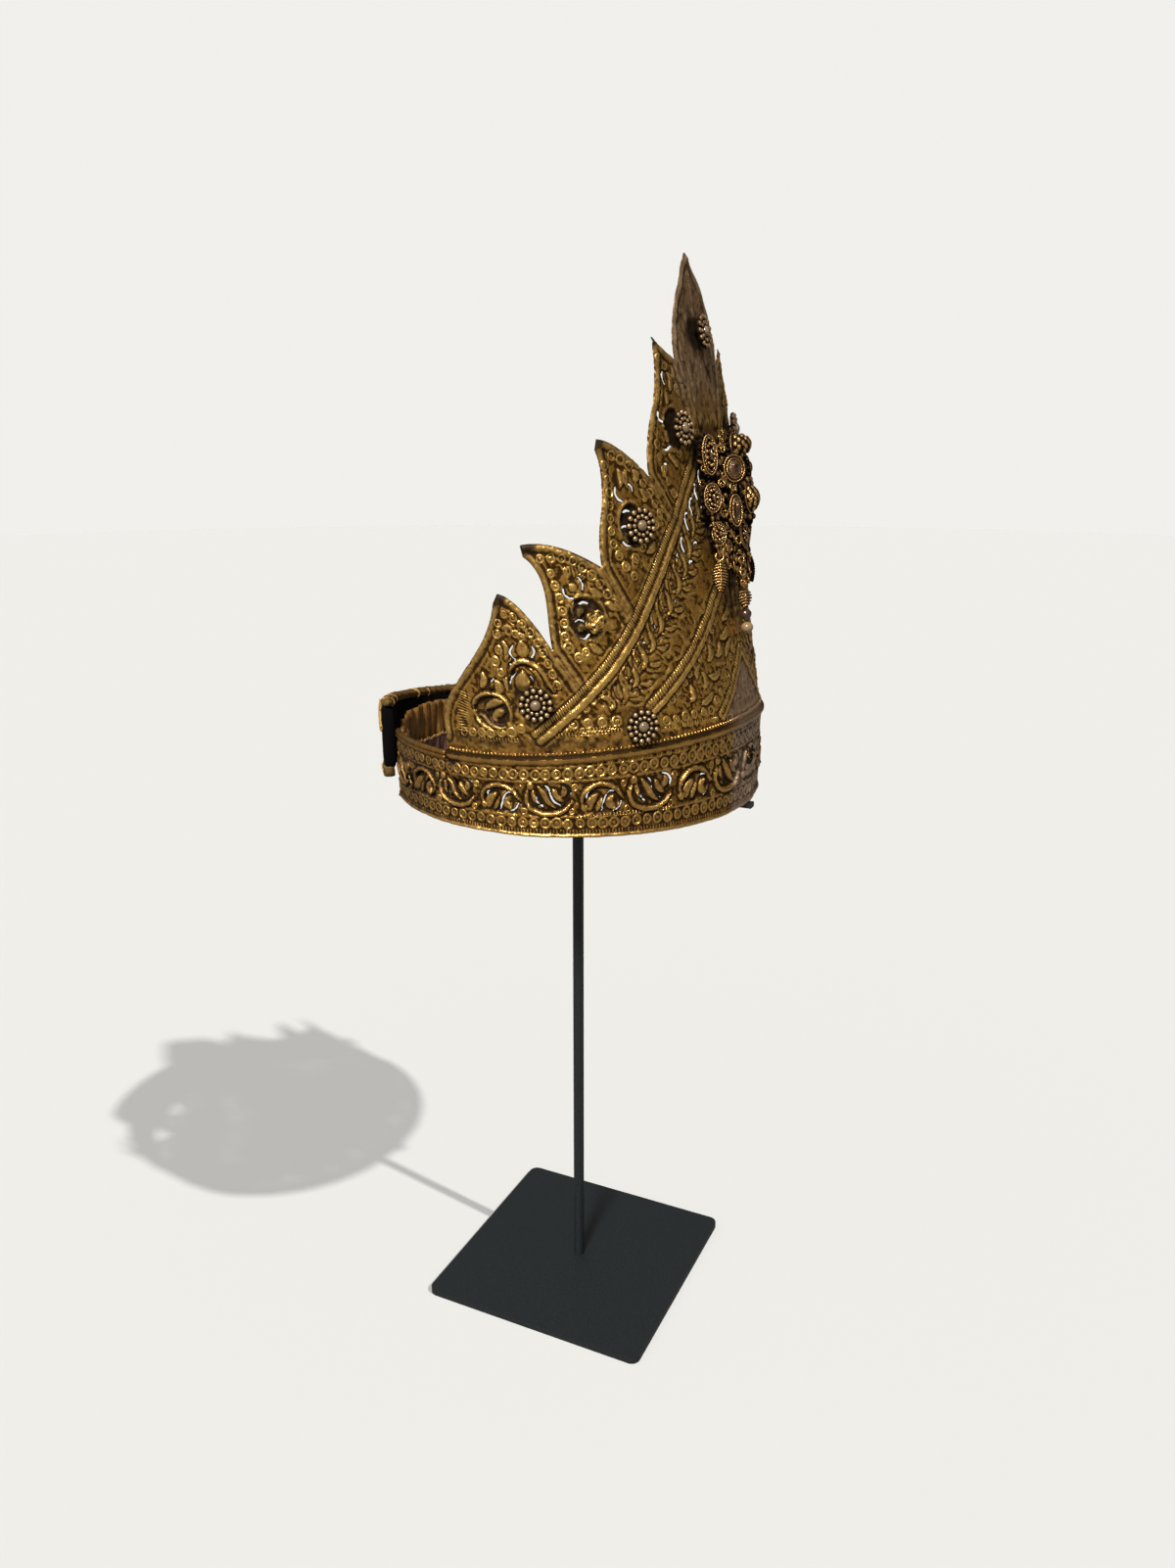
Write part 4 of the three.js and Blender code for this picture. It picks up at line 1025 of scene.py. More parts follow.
def make_patina():
    """Brass: chased finely, dark in its hollows from patina and painted shade, rubbed bright on its ridges
    (on the roll also a painted highlight), tarnished in patches, darkened by stains and painted shadows.
    """
    outputs = ("Color", "Roughness", "Metallic", "Height")
    tree, given, result = new_group("Brass patina", BRASS_TONES, BRASS_MARKS, outputs)
    add, less, times, most = (partial(maths, tree, how) for how in ("ADD", "SUBTRACT", "MULTIPLY", "MAXIMUM"))
    scale = partial(ranged, tree)
    patches, blotches = noise(tree, 55, 3, 0.6), noise(tree, 260, 3, 0.6)
    grain, ripple = noise(tree, 1300, 3, 0.65), noise(tree, 620, 4, 0.7)
    # the punched scale: a ring and a dot in a moat, at distances in radii
    off = less(1.5, given["Ring"])

    def peak(at, inner, outer):
        return scale(maths(tree, "ABSOLUTE", less(off, at)), inner, outer, 1, 0, how="SMOOTHSTEP")
    ring, dot = peak(0.72, 0.04, 0.34), scale(off, 0.14, 0.40, 1, 0, how="SMOOTHSTEP")
    gap, moat = peak(0.48, 0.02, 0.16), peak(1.06, 0.04, 0.24)
    # rows of beads or cuts
    wave = maths(tree, "COSINE", times(given["Step"], 2 * math.pi))
    row = times(scale(given["Row"], 0.12, 0.6, how="SMOOTHSTEP"), wave)
    high = add(most(ring, dot), most(row, 0.0))
    low = add(times(most(gap, moat), 0.6), most(times(row, -1.0), 0.0))
    low = add(low, times(scale(given["Cut"], 0.70, 0.95, how="SMOOTHSTEP"), 0.75))
    hollow = add(given["Hollow"], times(less(blotches, 0.5), 0.7))
    hollow = add(hollow, times(less(low, high), 0.45))
    hollow = add(hollow, scale(ripple, 0.36, 0.64, 0.20, -0.14))
    hollow = scale(add(hollow, times(grain, 0.2)), 0.13, 0.74)
    worn = add(given["Worn"], scale(ripple, 0.45, 0.68, 0.0, 0.35))
    worn = times(add(worn, times(high, 0.55), clamp=True), scale(grain, 0.25, 0.6, 0.6, 1.0))
    stain = times(given["Stain"], scale(blotches, 0.3, 0.62, 0.95, 1.2), clamp=True)
    tarnished = scale(add(patches, times(blotches, 0.45)), 0.58, 0.98)
    body = mixed(tree, tarnished, given["Middle"], given["Tarnish"])
    body = mixed(tree, worn, body, given["Bright"])
    body = mixed(tree, times(given["Dull"], 0.85), body, mixed(tree, worn, DULL_BRASS, WORN_DULL_BRASS))
    body = mixed(tree, times(hollow, scale(given["Dull"], 0.0, 1.0, 0.95, 0.7)), body, given["Dark"])
    body = mixed(tree, times(stain, 0.985), body, STAIN_BROWN)
    shade = most(hollow, stain)
    rough = add(scale(grain, 0.3, 0.7, 0.25, 0.40), times(shade, 0.3))
    rough = less(add(rough, times(given["Dull"], 0.16)), times(worn, 0.07))
    bumps = add(add(times(grain, 0.2), times(ripple, 0.6)), times(less(high, low), 0.42))
    metallic = scale(shade, 0.0, 1.0, 1.0, 0.5)
    feed(tree, result, {"Color": body, "Roughness": rough, "Metallic": metallic, "Height": bumps})
    return tree


def new_material(name):
    made = bpy.data.materials.new(name)
    made.use_nodes = True
    tree = made.node_tree
    tree.nodes.clear()
    shader = tree.nodes.new("ShaderNodeBsdfPrincipled")
    out = tree.nodes.new("ShaderNodeOutputMaterial")
    tree.links.new(shader.outputs[0], out.inputs["Surface"])
    return made, tree, shader


def finish(tree, shader, strength, distance, height, **sockets):
    """Feeds a shader's sockets, and dents it by a height field."""
    bumps = node(tree, "ShaderNodeBump", {"Strength": strength, "Distance": distance, "Height": height})
    inputs = {label.replace("_", " "): value for label, value in sockets.items()}
    feed(tree, shader, {**inputs, "Normal": bumps.outputs[0]})


def brass(name, bright, middle, tarnish, dark, bump=0.5, polish=1.0):
    made, tree, shader = new_material(name)
    inputs = {label: node(tree, "ShaderNodeAttribute", {}, attribute_name=label.lower()).outputs["Fac"]
              for label in BRASS_MARKS}
    inputs |= zip(BRASS_TONES, (bright, middle, tarnish, dark))
    patina = node(tree, "ShaderNodeGroup", inputs, node_tree=PATINA).outputs
    finish(tree, shader, bump, 0.0009, patina["Height"], Base_Color=patina["Color"],
           Metallic=patina["Metallic"], Roughness=maths(tree, "MULTIPLY", patina["Roughness"], polish),
           Specular_IOR_Level=0.08)
    return made


def plain(name, base, rough, metallic=0.0, *, scale=400, vary=0.25, bump, **sockets):
    """A finish of one colour, unevenly light and dark, with a fine grain."""
    made, tree, shader = new_material(name)
    grain = noise(tree, scale, 3, 0.6)
    tinted = scaled(tree, base[:3], ranged(tree, grain, 0.25, 0.75, 1 - vary, 1 + vary))
    finish(tree, shader, bump, 0.0004, grain, Base_Color=tinted, Metallic=metallic,
           Roughness=ranged(tree, grain, 0.3, 0.7, rough - 0.06, rough + 0.06), **sockets)
    return made


def make_weave():
    """Crossing threads of a cloth from its own map, with soft creases: a mask and a height."""
    tree, given, result = new_group("Woven threads", (), ("Pitch", "Crease"), ("Light", "Height"))
    add, times = (partial(maths, tree, how) for how in ("ADD", "MULTIPLY"))
    mapped = node(tree, "ShaderNodeUVMap", {}, uv_map="weave").outputs[0]
    parts = node(tree, "ShaderNodeSeparateXYZ", {0: mapped}).outputs
    waves = [maths(tree, "COSINE", times(maths(tree, "DIVIDE", parts[axis], given["Pitch"]), 2 * math.pi))
             for axis in ("X", "Y")]
    light = add(times(times(*waves), 0.25), noise(tree, 1500, 2, 0.5))
    creased = times(noise(tree, 420, 3, 0.6), given["Crease"])
    feed(tree, result, {"Light": ranged(tree, light, 0.2, 0.8), "Height": add(times(light, 0.35), creased)})
    return tree


def cloth(name, shadow, light, pitch, rough, crease=1.0, **sockets):
    """A woven cloth of two tones."""
    made, tree, shader = new_material(name)
    weave = node(tree, "ShaderNodeGroup", {"Pitch": pitch, "Crease": crease}, node_tree=WEAVE).outputs
    faded = ranged(tree, noise(tree, 90, 3, 0.6), 0.3, 0.7, 0.75, 1.25)
    tone = scaled(tree, mixed(tree, weave["Light"], shadow, light), faded)
    finish(tree, shader, 0.8, 0.0006, weave["Height"], Base_Color=tone, Roughness=rough, **sockets)
    return made


BRASS_TONES = ("Bright", "Middle", "Tarnish", "Dark")
BRASS_MARKS = ("Hollow", "Worn", "Stain", "Dull", "Ring", "Cut", "Row", "Step")
DULL_BRASS = colour(0.34, 0.225, 0.155)
WORN_DULL_BRASS = colour(0.70, 0.53, 0.40)
# dark brown of stains and of painted shadows
STAIN_BROWN = colour(0.026, 0.016, 0.010)
PATINA = make_patina()
WEAVE = make_weave()

AGED_BRASS = brass("Aged brass sheet", colour(1.0, 0.63, 0.19), colour(0.64, 0.335, 0.055),
                   colour(0.46, 0.19, 0.04), colour(0.019, 0.008, 0.002))
BAND_BRASS = brass("Aged brass band", colour(0.82, 0.48, 0.14), colour(0.34, 0.172, 0.030),
                   colour(0.24, 0.10, 0.022), colour(0.016, 0.007, 0.002))
BEAD_BRASS = brass("Rubbed brass beads", colour(0.95, 0.66, 0.36), colour(0.58, 0.35, 0.16),
                   colour(0.40, 0.20, 0.09), colour(0.020, 0.012, 0.007))
GILT = brass("Gilt brass", colour(0.95, 0.54, 0.19), colour(0.16, 0.066, 0.016), colour(0.06, 0.022, 0.006),
             colour(0.006, 0.003, 0.001), 0.9, 0.7)
BLACK_STEEL = plain("Black painted steel", colour(0.008, 0.011, 0.013), 0.5, scale=900, vary=0.3, bump=0.12)
# black of blackened brass, and painted shadow behind and between the parts of the spray and the rosettes
BLACK_GROUND = plain("Blackened brass ground", colour(0.008, 0.005, 0.003), 0.5, bump=0.5,
                     Specular_IOR_Level=0.05)
OPAL = plain("Opal stone", colour(0.22, 0.15, 0.085), 0.16, scale=700, vary=0.5, bump=0.05, Coat_Weight=0.7,
             Subsurface_Weight=0.2, Subsurface_Scale=0.002)
CLEAR = plain("Foiled clear stone", colour(0.26, 0.17, 0.10), 0.12, 0.95, scale=420, vary=0.9, bump=1.0)
PALE_BEAD = plain("Pale bead", colour(0.26, 0.17, 0.08), 0.15, scale=500, vary=0.15, bump=0.03,
                  Coat_Weight=0.7)
DARK_BEAD = plain("Dark bead", colour(0.045, 0.02, 0.012), 0.14, scale=500, bump=0.03, Coat_Weight=0.8)
VELVET = plain("Black velvet", colour(0.004, 0.0035, 0.004), 0.95, scale=2500, vary=0.5, bump=0.5,
               Sheen_Weight=0.008, Sheen_Roughness=0.4, Specular_IOR_Level=0.02)
SATIN = cloth("Brown-gold satin", colour(0.085, 0.036, 0.007), colour(0.30, 0.144, 0.031), 0.0006, 0.5,
              Specular_IOR_Level=0.25)
GAUZE = cloth("Violet-brown gauze", colour(0.050, 0.022, 0.020), colour(0.17, 0.085, 0.065), 0.0009, 0.7,
              Specular_IOR_Level=0.2)
TAPE = cloth("Olive-brown tape", colour(0.050, 0.026, 0.007), colour(0.20, 0.115, 0.030), 0.0008, 0.7, 1.6,
             Specular_IOR_Level=0.2)
THREAD = plain("Gold thread", colour(0.50, 0.30, 0.09), 0.45, 0.35, scale=1500, vary=0.4, bump=0.4)


# ---- The pieces ----

def make_plate():
    relief = carve_plate()
    for name, bm in sheet_pieces(("chased_plate_near", "chased_plate_far"), relief):
        piece(name, bm, [AGED_BRASS], ["front_plate"], thick=SHEET)


def make_band():
    relief = carve_band()
    for name, bm in sheet_pieces(("chased_band_near", "chased_band_far"), relief, band_stretch):
        piece(name, bm, [BAND_BRASS], ["headband"], thick=SHEET)


BEAD_PITCH = 1.9  # of the fine beading along the roll


def roll_piece(ends, radius, place, shape, segments, around=20, beaded=0, flat=1.0):
    """A roll along the wall: place(arc) gives its height and its distance out, shape adds to its radius."""
    bm, arc, turn = grid(ends, segments, around, 2 * np.pi)
    rise, out = place(arc)
    thick = (radius + shape(arc, turn)) * closing(arc, ends, radius)
    bead = np.clip((thick - radius) / 0.5, -1, 1)
    # painted shade under the roll and a painted highlight on its upper outer side, by up_and_out, besides
    # dark dents and bright rubbed beads
    up_and_out = np.cos(turn - 0.6)
    hollow = unit(unit(-bead) + unit(-up_and_out - 0.1))
    dull = unit((30 - np.abs(arc)) / 16)
    worn = unit(0.7 * unit(bead) + 0.10 * unit(up_and_out) ** 3) * (1 - 0.7 * dull)
    row = np.clip(1.3 - np.abs(turn - 1.15) / 0.28, 0, 1.3) * beaded * (1 - 0.8 * dull)
    seam = np.minimum(np.abs(turn - 1.62), np.abs(turn - 0.6)) * radius
    cut = unit(1 - seam / CHASED_REACH) * beaded
    settle(bm, wall(arc, rise + thick * np.sin(turn), out + flat * thick * np.cos(turn)),
           ("hollow", "worn", "row", "step", "cut", "dull"),
           np.stack([hollow, worn, row, arc / BEAD_PITCH, cut, dull], -1))
    return closed_up(bm, 0.01 * MM)


def make_rolls():
    def beading(arc, turn):
        bead = bell(turn - 1.15, 0.3) * (0.5 + 0.5 * np.cos(2 * np.pi * arc / BEAD_PITCH))
        seam = bell(turn - 1.55, 0.12) + bell(turn - 0.75, 0.12)
        dents = 0.10 * np.sin(arc * 0.31) + 0.08 * np.sin(arc * 0.83 + 1.2)
        channel = 0.9 * bell(turn - 0.35, 0.3) - 0.5 * bell(turn - 6.0, 0.4)
        return 0.5 * bead - 0.3 * seam - channel + dents

    def dented(arc, _):
        return 0.06 * np.sin(arc * 0.9) + 0.05 * np.sin(arc * 2.3)
    bm = roll_piece((-PLATE_END_ARC, PLATE_END_ARC), ROLL_RADIUS, lambda arc: (roll_height(arc), 0.8),
                    beading, 1180, 26, 1, 0.62)
    piece("beaded_roll", bm, [BAND_BRASS], ["headband"])
    for side, sign in (("near", -1), ("far", 1)):
        ends = sorted((sign * (PLATE_END_ARC + 0.5), sign * (BAND_END_ARC - 0.5)))
        rims = roll_piece(ends, 1.25, lambda arc: (BAND_HEIGHT - 0.6, 0.5), dented, 90)
        joined(rims, roll_piece(ends, 0.9, lambda arc: (BAND_HEIGHT - 2.7, 0.9), dented, 90))
        piece(f"band_rim_{side}", rims, [BAND_BRASS], ["headband"])


ROSETTES = {"leaf_1": (120.7, 62.2), "leaf_2": (90.3, 98.2), "leaf_3": (63.4, 137.3), "leaf_4": (30, 177),
            "rib_foot": (75.4, 51.2)}
ROSETTE_OUT = 3.6


def oval(wide, high, z, count=32, start=0.0):
    """Points round an oval, the first of them a share of a step along it."""
    turns = [2 * math.pi * (i + start) / count for i in range(count)]
    return [(wide * math.cos(t), high * math.sin(t), z) for t in turns]


def beaded_rosette():
    """Disc on its stem, two rings of beads and a collar, in millimetres; the stone is made apart."""
    ground = turned([(0, -3.0), (1.9, -3.0), (2.1, -0.2), (6.2, -0.1), (7.4, 0.3), (7.7, 0.9), (7.2, 1.1),
                     (5.4, 0.9), (3.2, 1.3), (2.9, 1.9), (2.5, 2.2), (2.1, 1.9), (0, 1.7)], 36)
    bm = bmesh.new()
    # the black ground shows between the beads as painted shade
    joined(bm, marked(ground, 1.4, 3.0, 1.0), material=0)
    for count, ring, size, height in ((13, 6.5, 1.3, 1.2), (11, 3.95, 1.02, 1.5)):
        for spot in oval(ring, ring, height, count, 0.5):
            joined(bm, marked(ball(size, 2), -0.3 * size, size, 0.5), moved(*spot), material=1)
    return bm


def flower_rosette():
    """A round flower of swirling lobes in gilt sheet."""
    bm = bmesh.new()
    disc = turned([(0, -3.0), (1.9, -3.0), (2.1, -0.2), (4.4, 0), (5.0, 0.7), (4.6, 1.5), (3.9, 1.0),
                   (3.3, 1.9), (2.6, 1.3), (2.0, 2.3), (1.3, 1.8), (0.7, 2.7), (0, 2.9)], 48)
    for vert in disc.verts:
        reach, turn = math.hypot(vert.co.x, vert.co.y), math.atan2(vert.co.y, vert.co.x)
        lobe = math.cos(6 * turn + 0.9 * reach)
        vert.co.xy *= 1 + 0.07 * lobe * (vert.co.z > -0.5)
        vert.co.z += 0.28 * lobe * (vert.co.z > 0.5) * min(1, reach)
    joined(bm, marked(disc, 0.5, 1.9, 0.25), material=1)
    return bm


def make_rosettes():
    for name, (arc, rise) in [*ROSETTES.items(), ("spike", (0, 219))]:
        for side, sign in (("_near", -1), ("_far", 1)) if arc else (("", -1),):
            place = wall_frame(sign * arc, rise, ROSETTE_OUT)
            flower = name == "leaf_2"
            bm = flower_rosette() if flower else beaded_rosette()
            bm.transform(place)
            piece(f"{'flower' if flower else 'beaded_disc'}_{name}{side}", bm,
                  [BLACK_GROUND, AGED_BRASS if flower else BEAD_BRASS], [f"rosette_{name}{side}"])
            if not flower:
                stone = turned([(0, 1.2), (2.3, 1.2), (2.4, 1.8), (2.1, 2.7), (1.3, 3.4), (0, 3.7)], 28)
                stone.transform(place)
                piece(f"opal_{name}{side}", stone, [OPAL], [f"rosette_stone_{name}{side}"])


# ---- The spray before the forehead ----

# Medallions as in the part: side, height, how proud, half width, half height, half depth, swing in degrees.
MEDALLIONS = {
    "top": (0, 169, 10.4, 6, 6.5, 4, 0), "middle": (0, 146, 14, 6, 7, 2.4, 0),
    "lower": (0, 130, 8.9, 5.4, 7, 1.6, 0), "foot": (0, 115, 6.2, 4, 5.5, 1.3, 0),
    "inner_top": (8, 159.5, 12, 5.8, 6.2, 1.6, 38),
    "inner_middle": (9, 141, 10.4, 3.6, 7.4, 1.3, 38), "outer_top": (20, 165.5, 5.4, 4.2, 9, 1.3, 35),
    "outer_middle": (22.5, 147, 4.8, 4.8, 6.6, 1.6, 35), "outer_lower": (20, 131, 4.4, 4, 5.5, 1.6, 35),
}
SCALED = ("top", "middle")  # medallions with a scaled gold dome instead of a stone
STUDDED = ("outer_top", "outer_middle", "outer_lower", "foot", "lower")  # and those set with small studs


def spray_frame(side, height, proud, swing=0.0, tilt=0.0):
    """Matrix from a medallion's own millimetres (x across, y up, z to the front) to its place."""
    front = wall(0, height, proud)
    face = Matrix.Rotation(math.pi / 2, 4, "X")
    lean = Matrix.Rotation(-math.atan(FRONT_LEAN), 4, "X")
    turn = Matrix.Rotation(math.radians(swing), 4, "Z")
    place = Matrix.Translation((side * MM, front[1], front[2]))
    return place @ turn @ lean @ face @ Matrix.Rotation(math.radians(tilt), 4, "Z") @ Matrix.Scale(MM, 4)


def bezel(wide, high):
    """Dark back plate with a gilt rim, a rope of beads and an inner rim, in materials 0 gilt and 1 black."""
    bm = bmesh.new()
    plate = turned([(0, 0), (0.97, 0), (1, 0.5), (0.9, 0.9), (0, 0.9)], 28)
    plate.transform(Matrix.Diagonal((wide, high, 1.3, 1)))
    joined(bm, marked(plate, 0.8, 2.2, 1.0), material=1)
    # a wider black disc behind the bezel: painted shadow round the medallion
    back = turned([(0, -1.6), (0.8, -1.5), (1, -0.9), (0.9, -0.3), (0, -0.2)], 18)
    back.transform(Matrix.Diagonal((wide + 0.9, high + 0.9, 1, 1)))
    joined(bm, marked(back, 0, 9, 1.0), material=1)
    joined(bm, marked(wire(oval(wide - 0.3, high - 0.3, 1.3), 0.38, 2, True), 0.8, 1.7), material=0)
    joined(bm, marked(wire(oval(wide - 1.75, high - 1.75, 1.5), 0.3, 1, True), 1.1, 1.8), material=0)
    for spot in oval(wide - 1.05, high - 1.05, 1.35, int(math.pi * (wide + high - 2.0) / 1.1)):
        joined(bm, marked(ball(0.42, 1), 0.1, 0.6, 0.8), moved(*spot), material=0)
    lobes = int(math.pi * (wide + high) / 2.3)
    for i, spot in enumerate(oval(wide + 0.5, high + 0.5, 0.1, lobes)):
        lobe = marked(ball(0.95, 1, (1.1, 0.85, 0.8)), 0.4, 1.1, 1.0)
        joined(bm, lobe, moved(*spot, 2 * math.pi * i / lobes), material=0)
    return bm


def scatter_seeds(bm, sign):
    """Small gilt seeds, rings and curls that crowd the spray between its medallions."""
    chance = np.random.default_rng(21)
    for _ in range(150):
        height = chance.uniform(105, 176)
        half = np.interp(height, (104, 112, 120, 130, 150, 168, 176), (3, 7, 18, 23, 26, 24, 8))
        side = half * chance.uniform(0.0, 1.0) ** 0.8
        proud = np.interp(side, (0, 10, 22, 26), (10.5, 9.5, 4.6, 3))
        proud *= np.interp(height, (105, 128, 140), (0.6, 0.8, 1))
        proud += chance.uniform(-1.6, 0.9)
        size = chance.uniform(0.75, 1.25)
        kind = chance.uniform()
        stain = chance.uniform(0.2, 0.95)
        if kind < 0.66:
            bit = marked(ball(size, 2, (0.8, 1.9, 0.75)), 0.0, 0.75 * size, stain)
        elif kind < 0.86:
            bit = marked(wire(oval(1.25 * size, 1.7 * size, 0, 14), 0.34, 1, True), -0.3, 0.4, stain)
        else:
            bit = scroll(chance.uniform(0, 6), 1.8 * size, 1.2, 0.34, 0.8)
        tilt = sign * chance.normal(0, 24)
        swing = sign * (1.7 * side + chance.uniform(-12, 18))
        joined(bm, bit, spray_frame(sign * side, height, proud, swing, tilt), material=0)


def scaled_dome(wide, high, deep):
    """Deep dome of overlapping long gold scales over a black core that shows in the seams as painted shade,
    in materials 0 gilt and 1 black.
    """
    bm = bmesh.new()
    joined(bm, marked(ball(1, 3, (wide, high, deep)), 0.4, 3.0, 1.0), material=1)
    for row in range(6):
        level = -0.84 + 1.6 * row / 5
        around = math.sqrt(1 - level**2)
        count = max(2, int(round(math.pi * wide * around / 2.5)))
        for i in range(count):
            t = math.pi * (i + (0.5 if row % 2 else 0.1)) / count
            x, z = around * math.cos(t), around * math.sin(t)
            scale = marked(ball(1.0, 2, (1.05, 1.5, 0.6)), -0.1, 0.6)
            tip = Matrix.Rotation(math.pi / 2 - t, 4, "Y") @ Matrix.Rotation(-0.9 * level, 4, "X")
            joined(bm, scale, moved(x * wide, level * high, z * deep) @ tip, material=0)
    return bm


def studs(wide, high):
    """Two rings of small studs round a larger one, in materials 0 gilt and 2 clear."""
    bm = bmesh.new()
    joined(bm, marked(ball(1, 3, (0.3 * wide, 0.34 * high, 1.5)), 0, 1.4), moved(z=0.8), material=2)
    for share, radius, lift, material in ((0.60, 0.78, 0.8, 0), (0.92, 0.55, 0.3, 2)):
        count = max(6, int(math.pi * (wide + high) * share / (2.3 * radius)))
        for spot in oval(share * wide, share * high, lift, count, 0.5 * material):
            joined(bm, marked(ball(radius, 2), -0.2, 0.8 * radius), moved(*spot), material=material)
    return bm


def cut_stone(wide, high, deep):
    """Clear stone with a flat table and a ring of facets."""
    bm = bmesh.new()
    bmesh.ops.create_cone(bm, cap_ends=True, segments=12, radius1=1.0, radius2=0.5, depth=1.5 * deep)
    bmesh.ops.transform(bm, matrix=Matrix.Diagonal((wide, high, 1, 1)), verts=bm.verts)
    bmesh.ops.bevel(bm, geom=bm.edges, offset=0.16, affect="EDGES", segments=1, profile=0.5, material=-1)
    return bm


def leaf_drop(long, wide):
    """A pendant leaf ribbed across on both sides of its midrib, hanging from a ring."""
    bm = bmesh.new()
    ring = [(1.9 * math.cos(t), 1.9 * math.sin(t) - 1.9, 0) for t in np.linspace(0, 2 * math.pi, 20, False)]
    joined(bm, marked(wire(ring, 0.55, 2, True), -0.4, 0.5), material=0)
    leaf = marked(ball(1, 3, (wide * 0.86, long / 2, 0.9)), -0.2, 2.6, 0.8)
    joined(bm, leaf, moved(y=-3.6 - long / 2), material=0)
    rows = int(long / 1.3)
    for i in range(rows):
        t = (i + 0.7) / (rows + 0.4)
        half = wide * math.sin(math.pi * t**0.8) ** 0.7
        y = -3.6 - long * t
        for sign in (-1, 1):
            rib = [(sign * 0.2, y + 0.35, 1.2), (sign * half * 0.55, y, 1.0), (sign * half, y - 0.6, 0.15)]
            joined(bm, marked(wire(rib, 0.42, 1), 0.3, 1.3), material=0)
    midrib = [(0, -3.8, 0.6), (0, -3.6 - long / 2, 1.35), (0, -3.4 - long, 0.5)]
    joined(bm, marked(wire(midrib, 0.42, 1), 0.2, 1.6), material=0)
    return bm


def scroll(start, radius, turns, size, rise):
    """A gilt wire that curls up."""
    line = []
    for k in range(18):
        t = k / 17
        r = radius * (1 - 0.75 * t)
        a = start + turns * 2 * math.pi * t
        line.append((r * math.cos(a), r * math.sin(a), rise * t))
    return marked(wire(line, size, 1), -size, size)


SPRAY_BALLS = [  # small balls between the medallions: side, height, how proud, radius
    (5.6, 152.6, 15, 1.6), (6.6, 148.8, 14.6, 1.4), (4.6, 163.8, 14.6, 1.5), (6.4, 166.4, 13.2, 1.5),
    (4.4, 138.4, 13, 1.4), (12.6, 152.2, 9.6, 1.4), (14.4, 155.4, 8.6, 1.5), (13.8, 147.8, 8.4, 1.3),
    (12.6, 136.8, 8.6, 1.3), (6.0, 133.4, 9.4, 1.3), (14.6, 133.6, 6.6, 1.2), (5.2, 122.4, 8.4, 1.3),
    (3.6, 120.4, 9.6, 1.3), (15.4, 162, 8.2, 1.5), (16.8, 157.4, 7.0, 1.3), (4.2, 110.6, 7.6, 1.1),
    (15.2, 143.4, 7.2, 1.4), (3.0, 138.0, 15, 1.3), (2.6, 154.6, 16, 1.4),
]
SPRAY_CURLS = [  # wire curls: side, height, how proud, radius, turns, start
    (16.4, 153.8, 8.2, 2.6, 1.1, 0.3), (15.6, 140.4, 7.6, 2.6, -1.1, 2.0), (4.6, 152.4, 13.8, 2.4, 1.2, 1.0),
    (6.8, 127.4, 9.4, 2.6, -1.2, 0.0), (13.0, 130.4, 7.4, 2.4, 1.1, 4.0), (6.2, 119.0, 8.6, 3.0, 1.2, 2.4),
    (5.0, 112.4, 8.2, 2.6, -1.2, 5.0), (12.0, 168.0, 9.0, 2.4, 1.2, 2.8), (4.0, 108.2, 7.4, 2.2, 1.2, 0.6),
    (9.8, 151.4, 11.4, 2.2, -1.2, 1.2), (17.6, 126.0, 5.4, 2.2, 1.2, 3.6),
]


def spray_line(bm, points, radius):
    """A black wire through (side, height, proud) points, dark as painted shadow between the spray's parts."""
    line = [(side, *(wall(0, height, proud)[1:] / MM)) for side, height, proud in points]
    joined(bm, marked(wire(line, radius, 1), -1, 1), Matrix.Scale(MM, 4), material=1)


